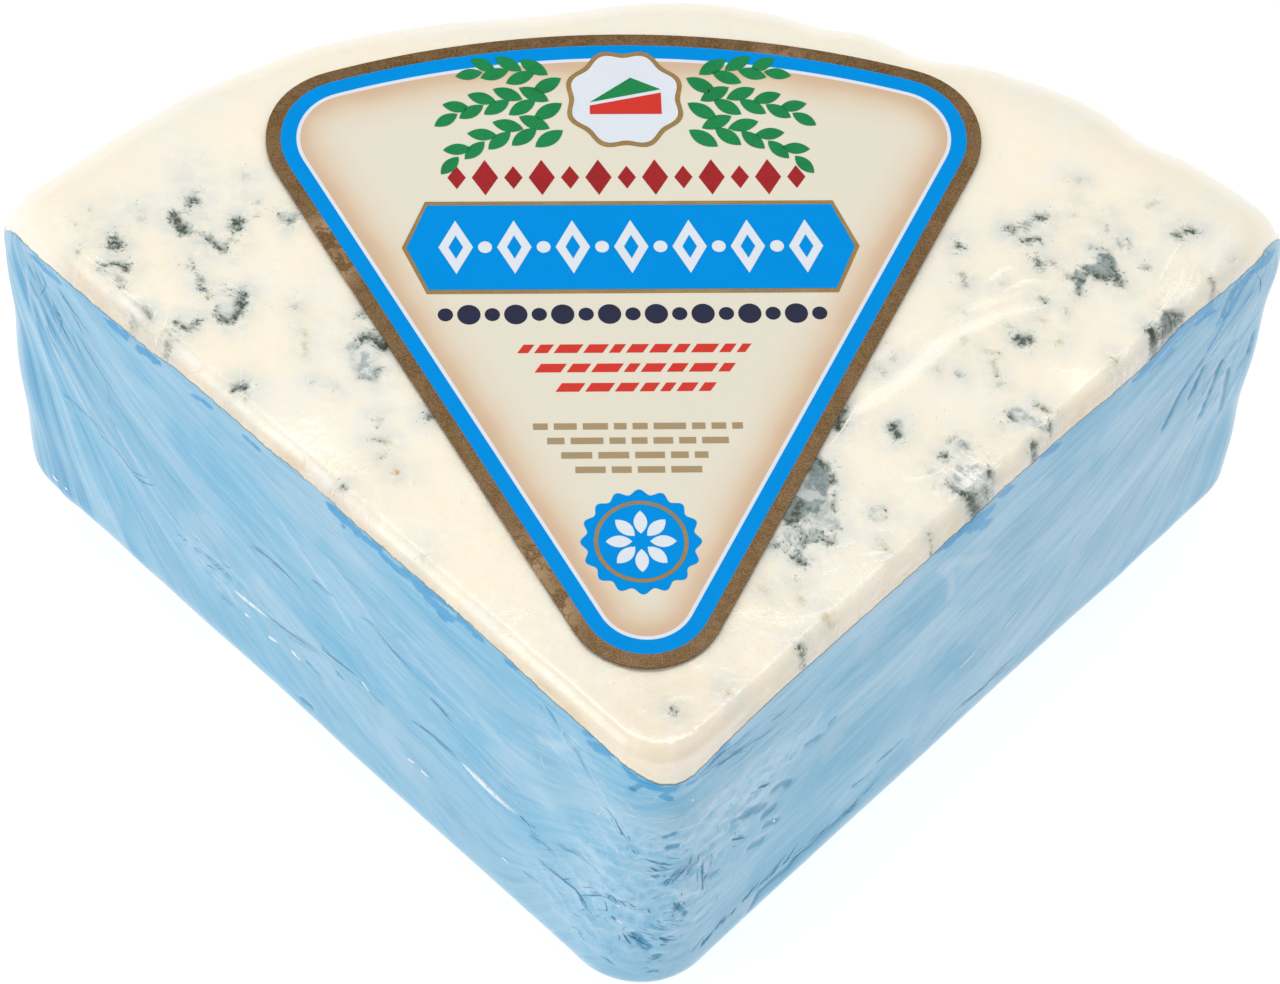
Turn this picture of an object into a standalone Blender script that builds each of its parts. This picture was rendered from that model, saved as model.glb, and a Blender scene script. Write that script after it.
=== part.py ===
"""An eighth of a wheel of gorgonzola, wrapped tight in film that is blue round the sides and clear on top.

The wheel was halved across its height and then quartered, so the wedge is a quarter circle in plan. Its tip
points along -Y, its rind lies along +Y, and it rests on its base at z = 0. Metres, +Z up.
"""

import math

import bmesh
import bpy
from mathutils import Matrix, Vector

# The wedge, measured over its film.
WHEEL_RADIUS = 0.145
HALF_ANGLE = math.radians(45)
HEIGHT = 0.0850
RIND_DRAFT = 0.0036  # how far the rind draws in by the base
CUT_FLARE = 0.0004  # how far the cut faces spread by the base
BASE_SIDESTEP = 0.0010  # how far the base sits to the right of the top

# Roundings. The wheel's worn rim, under the rind, is far rounder than the edges of the cut faces.
TIP_RADIUS_TOP = 0.0080
TIP_RADIUS_BASE = 0.0134
CORNER_RADIUS = 0.0076
CUT_EDGE_RADIUS = 0.0026
RIM_RADIUS = 0.0180
BASE_EDGE_RADIUS = 0.0115

# The film, the air kept between one piece and the next, and the seam between the blue film and the clear.
FILM = 0.00045
AIR = 0.00035
SEAM = 0.0007

# Where the blue stops: this far under the top on the cut faces, and further round the rind. Its border
# falls between two places on the rind, in degrees from the rind's middle.
BLUE_STOP_CUT = 0.0043
BLUE_STOP_RIND = 0.0135
BLUE_STOP_FALL = math.radians(38.5), math.radians(43.6)

# The label: straight sides that meet at a round tip near the wedge's own, and a bowed back edge. Its arc's
# centre lies behind the point where the sides would meet, and that point is placed from the wedge's apex.
LABEL_HALF_ANGLE = math.radians(27.9)
LABEL_ARC_RADIUS = 0.154
LABEL_ARC_SETBACK = 0.0282
LABEL_TIP_RADIUS = 0.0121
LABEL_CORNER_RADIUS = 0.0132
LABEL_POINT = Vector((-0.0012, 0.0042))
LABEL_LEAN = math.radians(1.3)
LABEL_THICKNESS = 0.0003

# Dents and swellings of the wheel's rim: place in degrees from the middle of the rind, towards +X, depth in
# metres (a swelling's is negative), and half width in degrees.
RIM_DENTS = (
    (-39.5, 0.0006, 4.5),
    (-29.5, -0.0005, 3.0),
    (-21.5, -0.0008, 5.0),
    (-7.5, 0.0009, 4.5),
    (3.5, -0.0011, 5.5),
    (11.4, 0.0007, 1.8),
    (18.2, 0.0017, 2.6),
    (28.0, -0.0006, 3.5),
    (33.5, 0.0010, 2.2),
)
# Chips in the top edges of the cut faces: side (-1 left, 1 right), distance from the apex, depth, half width.
EDGE_CHIPS = (
    (1, 0.0640, 0.0010, 0.0050),
    (1, 0.0900, 0.0009, 0.0060),
    (-1, 0.0720, 0.0009, 0.0060),
    (-1, 0.1080, 0.0006, 0.0050),
)
WALL_WAVE = 0.0004  # how far the walls swell and sink under the film
WALL_WAVELENGTH = 0.042

# Segments of an outline.
TIP_SEGMENTS = 6
SIDE_SEGMENTS = 15
CORNER_SEGMENTS = 6
ARC_SEGMENTS = 38

# The point where the cut faces would meet, placed so that the origin is at the middle of the plan's box.
TIP_SETBACK = TIP_RADIUS_TOP * (1 / math.sin(HALF_ANGLE) - 1)
APEX = Vector((0.0, -(WHEEL_RADIUS + TIP_SETBACK) / 2))

CHEESE_COLOUR = (0.96, 0.90, 0.76)
BLUE_COLOUR = (0.33, 0.57, 0.76)
CLEAR_COLOUR = (0.95, 0.96, 0.97)
LABEL_COLOUR = (0.80, 0.76, 0.63)


def clear_scene():
    for obj in list(bpy.data.objects):
        bpy.data.objects.remove(obj)


def material(name, colour, roughness, alpha=1.0):
    made = bpy.data.materials.new(name)
    made.use_nodes = True
    shader = made.node_tree.nodes["Principled BSDF"]
    shader.inputs["Base Color"].default_value = (*colour, 1.0)
    shader.inputs["Roughness"].default_value = roughness
    shader.inputs["Metallic"].default_value = 0.0
    shader.inputs["Alpha"].default_value = alpha
    return made


def blend(low, high, share):
    return low + (high - low) * share


def smooth_step(low, high, value):
    share = min(max((value - low) / (high - low), 0.0), 1.0)
    return share * share * (3 - 2 * share)


def on_circle(centre, radius, turn):
    return centre + radius * Vector((math.cos(turn), math.sin(turn)))


def rounded_sector(
    half_angle, arc_radius, arc_setback, tip_radius, corner_radius, side_inset=0.0, arc_inset=0.0
):
    """A pie slice's outline, with its point at the origin and its arc towards +Y, anticlockwise from the tip.

    The arc's centre lies arc_setback behind the point. The insets draw the sides and the arc inwards.
    """
    along = Vector((math.sin(half_angle), math.cos(half_angle)))
    inward = Vector((-along.y, along.x))
    tip = Vector((0, (side_inset + tip_radius) / math.sin(half_angle)))
    arc_centre = Vector((0, -arc_setback))
    reach = arc_radius - arc_inset
    offset = inward * (side_inset + corner_radius) - arc_centre
    run = -along.dot(offset) + math.sqrt(
        along.dot(offset) ** 2 - offset.length_squared + (reach - corner_radius) ** 2
    )
    corner = arc_centre + offset + along * run
    side_turn = math.atan2(-inward.y, -inward.x)
    arc_turn = math.atan2((corner - arc_centre).y, corner.x)

    half = []
    for step in range(TIP_SEGMENTS // 2 + 1):
        half.append(on_circle(tip, tip_radius, blend(-math.pi / 2, side_turn, step / (TIP_SEGMENTS // 2))))
    side_start = half[-1]
    side_end = on_circle(corner, corner_radius, side_turn)
    for step in range(1, SIDE_SEGMENTS + 1):
        half.append(side_start.lerp(side_end, step / SIDE_SEGMENTS))
    for step in range(1, CORNER_SEGMENTS + 1):
        half.append(on_circle(corner, corner_radius, blend(side_turn, arc_turn, step / CORNER_SEGMENTS)))
    for step in range(1, ARC_SEGMENTS // 2 + 1):
        half.append(on_circle(arc_centre, reach, blend(arc_turn, math.pi / 2, step / (ARC_SEGMENTS // 2))))
    return half + [Vector((-point.x, point.y)) for point in half[-2:0:-1]]


def fillet_inset(radius, depth, past):
    """How far a surface, depth inside the film, has drawn in at past metres into a rounding."""
    inner = radius - depth
    past = min(max(past, 0.0), inner)
    return radius - math.sqrt(inner * inner - past * past)


def ring(z, depth=0.0, further=0.0):
    """The wedge's outline at height z, on a surface depth inside the film, drawn in further by choice."""
    base = fillet_inset(BASE_EDGE_RADIUS, depth, BASE_EDGE_RADIUS - z)
    cut = fillet_inset(CUT_EDGE_RADIUS, depth, z - (HEIGHT - CUT_EDGE_RADIUS))
    rind = fillet_inset(RIM_RADIUS, depth, z - (HEIGHT - RIM_RADIUS))
    below_top = 1 - z / HEIGHT
    side_inset = max(base, cut) + further - CUT_FLARE * below_top
    arc_inset = max(base, rind) + further + RIND_DRAFT * below_top
    tip_radius = blend(TIP_RADIUS_TOP, TIP_RADIUS_BASE, below_top)
    outline = rounded_sector(HALF_ANGLE, WHEEL_RADIUS, 0.0, tip_radius, CORNER_RADIUS, side_inset, arc_inset)
    shift = Vector((APEX.x + BASE_SIDESTEP * below_top, APEX.y))
    return [(point + shift).to_3d() + Vector((0, 0, z)) for point in outline]


def blue_stop():
    """The height at which the blue stops, for each point of the outline."""
    heights = []
    for point in ring(HEIGHT / 2):
        from_apex = point.xy - APEX
        off_middle = abs(math.atan2(from_apex.x, from_apex.y))
        round_rind = 0.0
        if from_apex.length > WHEEL_RADIUS * 0.9:
            round_rind = 1 - smooth_step(*BLUE_STOP_FALL, off_middle)
        heights.append(HEIGHT - blend(BLUE_STOP_CUT, BLUE_STOP_RIND, round_rind))
    return heights


def base_rings(depth, steps=4):
    """Rings round the base's rounding, from its flat to its wall."""
    inner = BASE_EDGE_RADIUS - depth
    turns = [math.pi / 2 * step / steps for step in range(steps + 1)]
    return [ring(BASE_EDGE_RADIUS - inner * math.cos(turn), depth) for turn in turns]


def wall_rings(low, high, steps, depth):
    """Rings up the wall from low to high, which hold a height for each point of the outline."""
    made = []
    for step in range(steps + 1):
        heights = [blend(a, b, step / steps) for a, b in zip(low, high)]
        outlines = {z: ring(z, depth) for z in set(heights)}
        made.append([outlines[z][i] for i, z in enumerate(heights)])
    return made


def shoulder_rings(depth):
    """Rings over the edge of the top, up to its flat, close together on the cut faces' tight edge."""
    inner = CUT_EDGE_RADIUS - depth
    rises = [inner * math.sin(math.radians(turn)) for turn in (0, 35, 65, 90)]
    return [ring(HEIGHT - CUT_EDGE_RADIUS + rise, depth) for rise in rises]


def top_rings(depth):
    """Rings across the flat of the top."""
    return [ring(HEIGHT - depth, depth, further) for further in (0.006, 0.014, 0.024)]


def dent(point):
    """How far the surface lies inside its plain form at point, in metres."""
    from_apex = point.xy - APEX
    turn = math.degrees(math.atan2(from_apex.x, from_apex.y))
    on_rim = smooth_step(WHEEL_RADIUS * 0.895, WHEEL_RADIUS * 0.98, from_apex.length)
    on_rim *= smooth_step(HEIGHT * 0.55, HEIGHT * 0.93, point.z)
    depth = sum(on_rim * deep * math.exp(-(((turn - at) / width) ** 2)) for at, deep, width in RIM_DENTS)
    for side, at, deep, width in EDGE_CHIPS:
        edge = Vector((side * math.sin(HALF_ANGLE), math.cos(HALF_ANGLE))) * at
        away = math.hypot((from_apex - edge).length, HEIGHT - point.z)
        depth += deep * math.exp(-((away / width) ** 2))
    clear_of_base = smooth_step(BASE_EDGE_RADIUS * 0.3, BASE_EDGE_RADIUS * 2.5, point.z)
    clear_of_top = 1 - smooth_step(HEIGHT * 0.75, HEIGHT * 0.95, point.z)
    wave = 2 * math.pi / WALL_WAVELENGTH
    swell = math.sin(wave * (point.x + 0.6 * point.z)) * math.sin(wave * (0.7 * point.y - point.z) + 1.0)
    return depth + WALL_WAVE * swell * clear_of_base * clear_of_top


def loft(name, rings, look, cap_first=False, cap_last=False):
    """One object whose surface runs through the rings, pressed in where the cheese is dented."""
    shape = bmesh.new()
    rows = [[shape.verts.new(point) for point in points] for points in rings]
    for low, high in zip(rows, rows[1:]):
        for i in range(len(low)):
            j = (i + 1) % len(low)
            shape.faces.new((low[i], low[j], high[j], high[i]))
    if cap_first:
        shape.faces.new(reversed(rows[0]))
    if cap_last:
        shape.faces.new(rows[-1])
    shape.normal_update()
    moves = [-dent(vert.co) * vert.normal for vert in shape.verts]
    for vert, move in zip(shape.verts, moves):
        vert.co += move
    mesh = bpy.data.meshes.new(name)
    shape.to_mesh(mesh)
    shape.free()
    mesh.shade_smooth()
    made = bpy.data.objects.new(name, mesh)
    made.data.materials.append(look)
    pieces.objects.link(made)
    return made


def make_film(skin):
    """Turns an open skin on the pack's outside into film of a real thickness, which grows inwards."""
    film = skin.modifiers.new("film", "SOLIDIFY")
    film.thickness = FILM
    film.offset = -1
    film.use_even_offset = True


def make_cheese():
    depth = FILM + AIR
    stop = blue_stop()
    low = [BASE_EDGE_RADIUS] * len(stop)
    edge = [HEIGHT - CUT_EDGE_RADIUS] * len(stop)
    rings = base_rings(depth)
    rings += wall_rings(low, stop, 8, depth)[1:]
    rings += wall_rings(stop, edge, 3, depth)[1:]
    rings += shoulder_rings(depth)[1:]
    rings += top_rings(depth)
    loft("cheese_wedge", rings, material("cheese", CHEESE_COLOUR, 0.45), cap_first=True, cap_last=True)


def make_blue_wrap():
    stop = [height - SEAM / 2 for height in blue_stop()]
    low = [BASE_EDGE_RADIUS] * len(stop)
    rings = base_rings(0.0) + wall_rings(low, stop, 8, 0.0)[1:]
    make_film(loft("blue_wrap", rings, material("blue_film", BLUE_COLOUR, 0.2), cap_first=True))


def make_clear_top():
    start = [height + SEAM / 2 for height in blue_stop()]
    edge = [HEIGHT - CUT_EDGE_RADIUS] * len(start)
    rings = wall_rings(start, edge, 3, 0.0) + shoulder_rings(0.0)[1:] + top_rings(0.0)
    make_film(loft("clear_top", rings, material("clear_film", CLEAR_COLOUR, 0.1, alpha=0.2), cap_last=True))


def make_label():
    """The label: a flat outline given its thickness, laid on the film."""
    outline = rounded_sector(
        LABEL_HALF_ANGLE, LABEL_ARC_RADIUS, LABEL_ARC_SETBACK, LABEL_TIP_RADIUS, LABEL_CORNER_RADIUS
    )
    curve = bpy.data.curves.new("label", "CURVE")
    curve.dimensions = "2D"
    curve.fill_mode = "BOTH"
    curve.extrude = LABEL_THICKNESS / 2
    spline = curve.splines.new("POLY")
    spline.points.add(len(outline) - 1)
    for point, place in zip(spline.points, outline):
        point.co = (*place, 0, 1)
    spline.use_cyclic_u = True
    curve.materials.append(material("label_paper", LABEL_COLOUR, 0.35))
    made = bpy.data.objects.new("label", curve)
    place = APEX + LABEL_POINT
    middle = Vector((place.x, place.y, HEIGHT + AIR + LABEL_THICKNESS / 2))
    made.matrix_world = Matrix.Translation(middle) @ Matrix.Rotation(LABEL_LEAN, 4, "Z")
    pieces.objects.link(made)


clear_scene()
pieces = bpy.data.collections.new("gorgonzola")
bpy.context.scene.collection.children.link(pieces)
make_cheese()
make_blue_wrap()
make_clear_top()
make_label()
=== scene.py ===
"""The looks of a wrapped gorgonzola wedge: veined cheese, creased blue film, clear film and a printed label.

Lengths are metres. Features are listed in millimetres from the apex, the point where the two cut
faces would meet, with x to the right and y towards the rind. Along the walls a place is a run in millimetres
from the middle of the tip, positive to the right, and a height.
"""

import math

import bpy
import numpy as np
from mathutils import Matrix, Vector


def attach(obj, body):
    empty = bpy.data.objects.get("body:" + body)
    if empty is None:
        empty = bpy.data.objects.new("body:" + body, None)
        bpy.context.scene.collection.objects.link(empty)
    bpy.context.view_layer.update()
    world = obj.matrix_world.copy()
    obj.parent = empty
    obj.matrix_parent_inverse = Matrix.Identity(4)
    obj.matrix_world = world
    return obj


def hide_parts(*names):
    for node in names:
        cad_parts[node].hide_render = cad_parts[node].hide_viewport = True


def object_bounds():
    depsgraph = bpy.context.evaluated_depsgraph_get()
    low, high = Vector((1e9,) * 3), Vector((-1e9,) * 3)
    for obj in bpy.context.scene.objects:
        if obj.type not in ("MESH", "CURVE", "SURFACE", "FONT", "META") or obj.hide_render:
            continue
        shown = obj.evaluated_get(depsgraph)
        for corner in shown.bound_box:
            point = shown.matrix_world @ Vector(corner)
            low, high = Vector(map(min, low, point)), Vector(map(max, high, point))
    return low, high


MM = 0.001

# The wedge, as in the CAD.
WHEEL_RADIUS = 0.145
HALF_ANGLE = math.radians(45)
HEIGHT = 0.0850
RIND_DRAFT = 0.0036
CUT_FLARE = 0.0004
BASE_SIDESTEP = 0.0010
TIP_RADIUS_TOP = 0.0080
TIP_RADIUS_BASE = 0.0134
CORNER_RADIUS = 0.0076
CUT_EDGE_RADIUS = 0.0026
RIM_RADIUS = 0.0180
BASE_EDGE_RADIUS = 0.0115
BLUE_STOP_CUT = 0.0043
BLUE_STOP_RIND = 0.0135
BLUE_STOP_FALL = math.radians(43.7), math.radians(45.1)
# Dents round the rim: turn from the middle of the rind, depth, and width. Turns and widths are in degrees.
RIM_DENTS = (
    (-39.5, 0.0006, 4.5), (-29.5, -0.0005, 3.0), (-21.5, -0.0008, 5.0), (-7.5, 0.0009, 4.5),
    (3.5, -0.0011, 5.5), (11.4, 0.0007, 1.8), (18.2, 0.0017, 2.6), (28.0, -0.0006, 3.5), (33.5, 0.0010, 2.2),
)
# Chips out of the cut edges: side, distance from the apex, depth and width.
EDGE_CHIPS = (
    (1, 0.0640, 0.0010, 0.0050), (1, 0.0900, 0.0009, 0.0060),
    (-1, 0.0720, 0.0009, 0.0060), (-1, 0.1080, 0.0006, 0.0050),
)
WALL_WAVE = 0.0004
WALL_WAVELENGTH = 0.042
APEX = np.array([0.0, -(WHEEL_RADIUS + TIP_RADIUS_TOP * (1 / math.sin(HALF_ANGLE) - 1)) / 2])

# The label, as in the CAD, and its printed border.
LABEL_HALF_ANGLE = math.radians(27.9)
LABEL_ARC_RADIUS = 0.154
LABEL_ARC_SETBACK = 0.0282
LABEL_TIP_RADIUS = 0.0121
LABEL_CORNER_RADIUS = 0.0132
LABEL_POINT = np.array([-0.0012, 0.0042])
LABEL_LEAN = math.radians(1.3)
GOLD_BAND = 0.00225
BLUE_BAND = 0.00240
WHITE_BAND = 0.00055

# How deep each surface lies inside the pack's outer form.
BLUE_DEPTH = 0.00005
CLEAR_DEPTH = 0.00015
CHEESE_DEPTH = 0.00042
BORDER_DEPTH = 0.00021  # the cheese at the blue's border, where it presses against the film
HIDDEN_DEPTH = 0.0018  # the cheese behind the blue film
LABEL_UNDERSIDE = HEIGHT - 0.00005
LABEL_TOP = HEIGHT + 0.00038
PRINT_STEP = 0.00003

# The camera, from the photograph: a long lens that looks down on the tip, leaning a little.
CAMERA_TURN = math.radians(-5.7003)
CAMERA_RISE = math.radians(58.7219)
CAMERA_ROLL = math.radians(5.5860)
CAMERA_DISTANCE = 0.869922
CAMERA_TARGET = Vector((0.0010082, 0.0809159 + APEX[1], 0.030))
SENSOR_WIDTH = 36.0
FOCAL_LENGTH_IN_PIXELS = 5500
PHOTO_WIDTH_IN_PIXELS = 1280

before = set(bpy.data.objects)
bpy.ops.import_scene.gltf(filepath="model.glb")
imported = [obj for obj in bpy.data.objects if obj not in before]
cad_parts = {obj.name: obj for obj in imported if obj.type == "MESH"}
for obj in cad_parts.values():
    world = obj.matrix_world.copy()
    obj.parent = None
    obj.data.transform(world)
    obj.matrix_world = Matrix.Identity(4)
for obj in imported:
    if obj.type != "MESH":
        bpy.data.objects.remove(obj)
cad_low, cad_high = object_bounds()


# ---------------------------------------------------------------- numbers


def blend(low, high, share):
    return low + (high - low) * share


def smooth_step(low, high, value):
    share = np.clip((value - low) / (high - low), 0.0, 1.0)
    return share * share * (3 - 2 * share)


def bell(value, width):
    return np.exp(-((value / width) ** 2))


def lattice(x, y, z, seed):
    """A random number from 0 to 1 for each whole-numbered place."""
    mixed = (x * 73856093) ^ (y * 19349663) ^ (z * 83492791) ^ (seed * 2654435761)
    mixed = mixed & 0xFFFFFFFF
    mixed = ((mixed ^ (mixed >> 15)) * 2246822519) & 0xFFFFFFFF
    mixed = ((mixed ^ (mixed >> 13)) * 3266489917) & 0xFFFFFFFF
    return (mixed ^ (mixed >> 16)) / 2**32


def noise(x, y, z, seed, octaves=1):
    """Smooth random values from about -1 to 1, which vary over a distance of one."""
    total, weight = 0.0, 1.0
    for octave in range(octaves):
        corner = [np.floor(axis).astype(np.int64) for axis in (x, y, z)]
        share = [axis - low for axis, low in zip((x, y, z), corner)]
        share = [part * part * part * (part * (part * 6 - 15) + 10) for part in share]
        value = 0.0
        for step in range(8):
            offset = step & 1, step >> 1 & 1, step >> 2 & 1
            nearness = 1.0
            for part, over in zip(share, offset):
                nearness = nearness * (part if over else 1 - part)
            places = [low + over for low, over in zip(corner, offset)]
            value = value + nearness * lattice(*places, seed + octave)
        total = total + weight * (2 * value - 1)
        x, y, z, weight = x * 2.03, y * 2.03, z * 2.03, weight / 2
    return total


def ridges(value):
    """Turns smooth noise into sharp ridges, from 0 between them to 1 along them."""
    return np.clip(1 - np.abs(value) * 2.2, 0, 1)


def smooth_path(points, spacing):
    """Points at even steps along a smooth curve through the given ones."""
    points = np.reshape(points, (-1, 2)).astype(float)
    if len(points) == 2:
        points = np.stack([points[0], points.mean(0), points[1]])
    padded = np.vstack([2 * points[0] - points[1], points, 2 * points[-1] - points[-2]])
    fine = []
    for a, b, c, d in zip(padded, padded[1:], padded[2:], padded[3:]):
        curved, twisted = 2 * a - 5 * b + 4 * c - d, 3 * b - a - 3 * c + d
        for t in np.linspace(0, 1, 12, endpoint=False):
            fine.append(0.5 * (2 * b + (c - a) * t + curved * t**2 + twisted * t**3))
    fine = np.array(fine + [points[-1]])
    run = np.concatenate([[0], np.cumsum(np.linalg.norm(np.diff(fine, axis=0), axis=1))])
    steps = np.linspace(0, run[-1], max(int(run[-1] / spacing), 4) + 1)
    return np.stack([np.interp(steps, run, fine[:, axis]) for axis in range(fine.shape[1])], 1)


def beside_path(x, y, points):
    """How far each place lies to the left of a line through the points, past its ends, and from it in all."""
    points = np.reshape(points, (-1, 2)).astype(float)
    nearest = np.full(np.shape(x), np.inf)
    offset = np.zeros(np.shape(x))
    past = np.zeros(np.shape(x))
    last = len(points) - 2
    for step, ((from_x, from_y), (to_x, to_y)) in enumerate(zip(points, points[1:])):
        length = math.hypot(to_x - from_x, to_y - from_y)
        ahead_x, ahead_y = (to_x - from_x) / length, (to_y - from_y) / length
        along = (x - from_x) * ahead_x + (y - from_y) * ahead_y
        across = (y - from_y) * ahead_x - (x - from_x) * ahead_y
        beyond = along - np.clip(along, 0, length)
        away = np.hypot(beyond, across)
        at_end = ((beyond < 0) & (step == 0)) | ((beyond > 0) & (step == last))
        nearer = away < nearest
        offset = np.where(nearer, np.where(at_end, across, np.copysign(away, across)), offset)
        past = np.where(nearer, np.where(at_end, np.abs(beyond), 0.0), past)
        nearest = np.where(nearer, away, nearest)
    return offset, past, nearest


def mark_amount(x, y, marks):
    """How strongly marks cover each place. A mark is its half width, its strength and its line's points."""
    value = np.zeros(np.shape(x))
    for width, strength, *path in marks:
        value = np.maximum(value, strength * bell(beside_path(x, y, path)[2], width))
    return value


# ---------------------------------------------------------------- the pack's form


def sector_point(place, form, side_inset, arc_inset):
    """A point of a rounded pie slice's outline, whose point is at the origin and whose arc is towards +Y.

    The place is a part (0 the tip, 1 the side, 2 the corner, 3 the arc), a share of that part, and a side.
    The form is the half angle, the arc's radius, how far its centre is set back, and the radii of the tip and
    the corners.
    """
    part, share, side = place
    half_angle, arc_radius, arc_setback, tip_radius, corner_radius = form
    along_x, along_y = math.sin(half_angle), math.cos(half_angle)
    tip_y = (side_inset + tip_radius) / along_x
    reach = arc_radius - arc_inset
    off_x = -along_y * (side_inset + corner_radius)
    off_y = along_x * (side_inset + corner_radius) + arc_setback
    ahead = along_x * off_x + along_y * off_y
    run = -ahead + np.sqrt(ahead**2 - off_x**2 - off_y**2 + (reach - corner_radius) ** 2)
    corner_x = off_x + along_x * run
    corner_y = off_y - arc_setback + along_y * run
    arc_turn = np.arctan2(corner_y + arc_setback, corner_x)
    tip_turn = blend(-math.pi / 2, -half_angle, share)
    corner_turn = blend(-half_angle, arc_turn, share)
    rind_turn = blend(arc_turn, math.pi / 2, share)
    start_x, start_y = tip_radius * along_y, tip_y - tip_radius * along_x
    end_x, end_y = corner_x + corner_radius * along_y, corner_y - corner_radius * along_x
    x = np.choose(part, [
        tip_radius * np.cos(tip_turn), blend(start_x, end_x, share),
        corner_x + corner_radius * np.cos(corner_turn), reach * np.cos(rind_turn),
    ])
    y = np.choose(part, [
        tip_y + tip_radius * np.sin(tip_turn), blend(start_y, end_y, share),
        corner_y + corner_radius * np.sin(corner_turn), reach * np.sin(rind_turn) - arc_setback,
    ])
    return x * side, y


def fillet_inset(radius, depth, past):
    """How far a rounded edge lies inside its face at a place past the edge's start, depth inside the form."""
    inner = radius - depth
    past = np.clip(past, 0.0, inner)
    return radius - np.sqrt(inner * inner - past * past)


# How far each part of the outline runs at half height, from the middle of the tip to the middle of the rind.
TIP_RUN = blend(TIP_RADIUS_TOP, TIP_RADIUS_BASE, 0.5) * (math.pi / 2 - HALF_ANGLE)
SIDE_RUN = 0.1215
CORNER_RUN = 0.0112
RIND_RUN = 0.1040
PART_STARTS = np.cumsum([0, TIP_RUN, SIDE_RUN, CORNER_RUN, RIND_RUN])
CORNER_AT = PART_STARTS[2] + CORNER_RUN / 2
HALF_ROUND = PART_STARTS[4]


def outline_place(run):
    """Which part of the outline a run from the tip lies on, how far along that part, and on which side."""
    far = np.minimum(np.abs(run), HALF_ROUND - 1e-9)
    part = np.clip(np.searchsorted(PART_STARTS, far, side="right") - 1, 0, 3)
    share = (far - PART_STARTS[part]) / np.diff(PART_STARTS)[part]
    return part, share, np.where(run < 0, -1.0, 1.0)


def wall_point(run, z, depth=0.0, further=0.0):
    """A point of the pack's wall, or of its top where it is drawn in further, depth inside its outer form."""
    z = z + np.zeros(np.shape(run))
    base = fillet_inset(BASE_EDGE_RADIUS, depth, BASE_EDGE_RADIUS - z)
    cut = fillet_inset(CUT_EDGE_RADIUS, depth, z - (HEIGHT - CUT_EDGE_RADIUS))
    rind = fillet_inset(RIM_RADIUS, depth, z - (HEIGHT - RIM_RADIUS))
    below_top = 1 - z / HEIGHT
    side_inset = np.maximum(base, cut) + further - CUT_FLARE * below_top
    arc_inset = np.maximum(base, rind) + further + RIND_DRAFT * below_top
    form = HALF_ANGLE, WHEEL_RADIUS, 0.0, blend(TIP_RADIUS_TOP, TIP_RADIUS_BASE, below_top), CORNER_RADIUS
    x, y = sector_point(outline_place(run), form, side_inset, arc_inset)
    return np.stack(np.broadcast_arrays(x + APEX[0] + BASE_SIDESTEP * below_top, y + APEX[1], z), -1)


def from_apex(points, unit=MM):
    """Places measured from the apex, in millimetres unless another unit is given, as x, y and z."""
    return (points[..., 0] - APEX[0]) / unit, (points[..., 1] - APEX[1]) / unit, points[..., 2] / unit


def cut_inset(x, y):
    """How far a place is from the nearer cut face."""
    return y * math.sin(HALF_ANGLE) - np.abs(x) * math.cos(HALF_ANGLE)


def edge_places(points):
    """How far each point lies from the nearer cut face, and how far along it, in millimetres."""
    x, y, _ = from_apex(points)
    return cut_inset(x, y), y * math.cos(HALF_ANGLE) + np.abs(x) * math.sin(HALF_ANGLE)


# How far the blue's border hangs below its level, in millimetres, at runs along the wall.
BORDER_WAVER = (
    (-150, 0), (-136, 2.4), (-122, 3.2), (-104, 2.4), (-99, 0.6), (-84, 0.3), (-72, 0.6), (-63, 0),
    (-44, -0.4), (-32, 0), (-22, 0.8), (-12, 0.7), (-8, 1.2), (-4, 2), (0, 4.1), (3.6, 5), (8, 4.2),
    (12, 3.4), (19, 2.1), (28, 1.7), (44, 1.9), (60, 1.9), (66, 2), (72, 0.6), (80, 1), (89, 1.9),
    (104, 1.9), (108, 0.8), (113, -0.6), (117, -0.4), (122, 0.6), (136, 0.6), (150, 0),
)


def blue_stop(run):
    """The height at which the blue stops."""
    x, y, _ = from_apex(wall_point(run, HEIGHT / 2), 1.0)
    round_rind = 1 - smooth_step(*BLUE_STOP_FALL, np.abs(np.arctan2(x, y)))
    round_rind = np.where(np.hypot(x, y) > WHEEL_RADIUS * 0.9, round_rind, 0.0)
    waver = np.interp(run / MM, *np.transpose(BORDER_WAVER)) * MM
    return HEIGHT - blend(BLUE_STOP_CUT, BLUE_STOP_RIND, round_rind) - waver


def border_room(z, stop):
    """How free a place is of the blue's border: 0 on it, where all layers lie close, and 1 away from it."""
    return smooth_step(0.0006, 0.0026, np.abs(z - stop))


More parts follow.
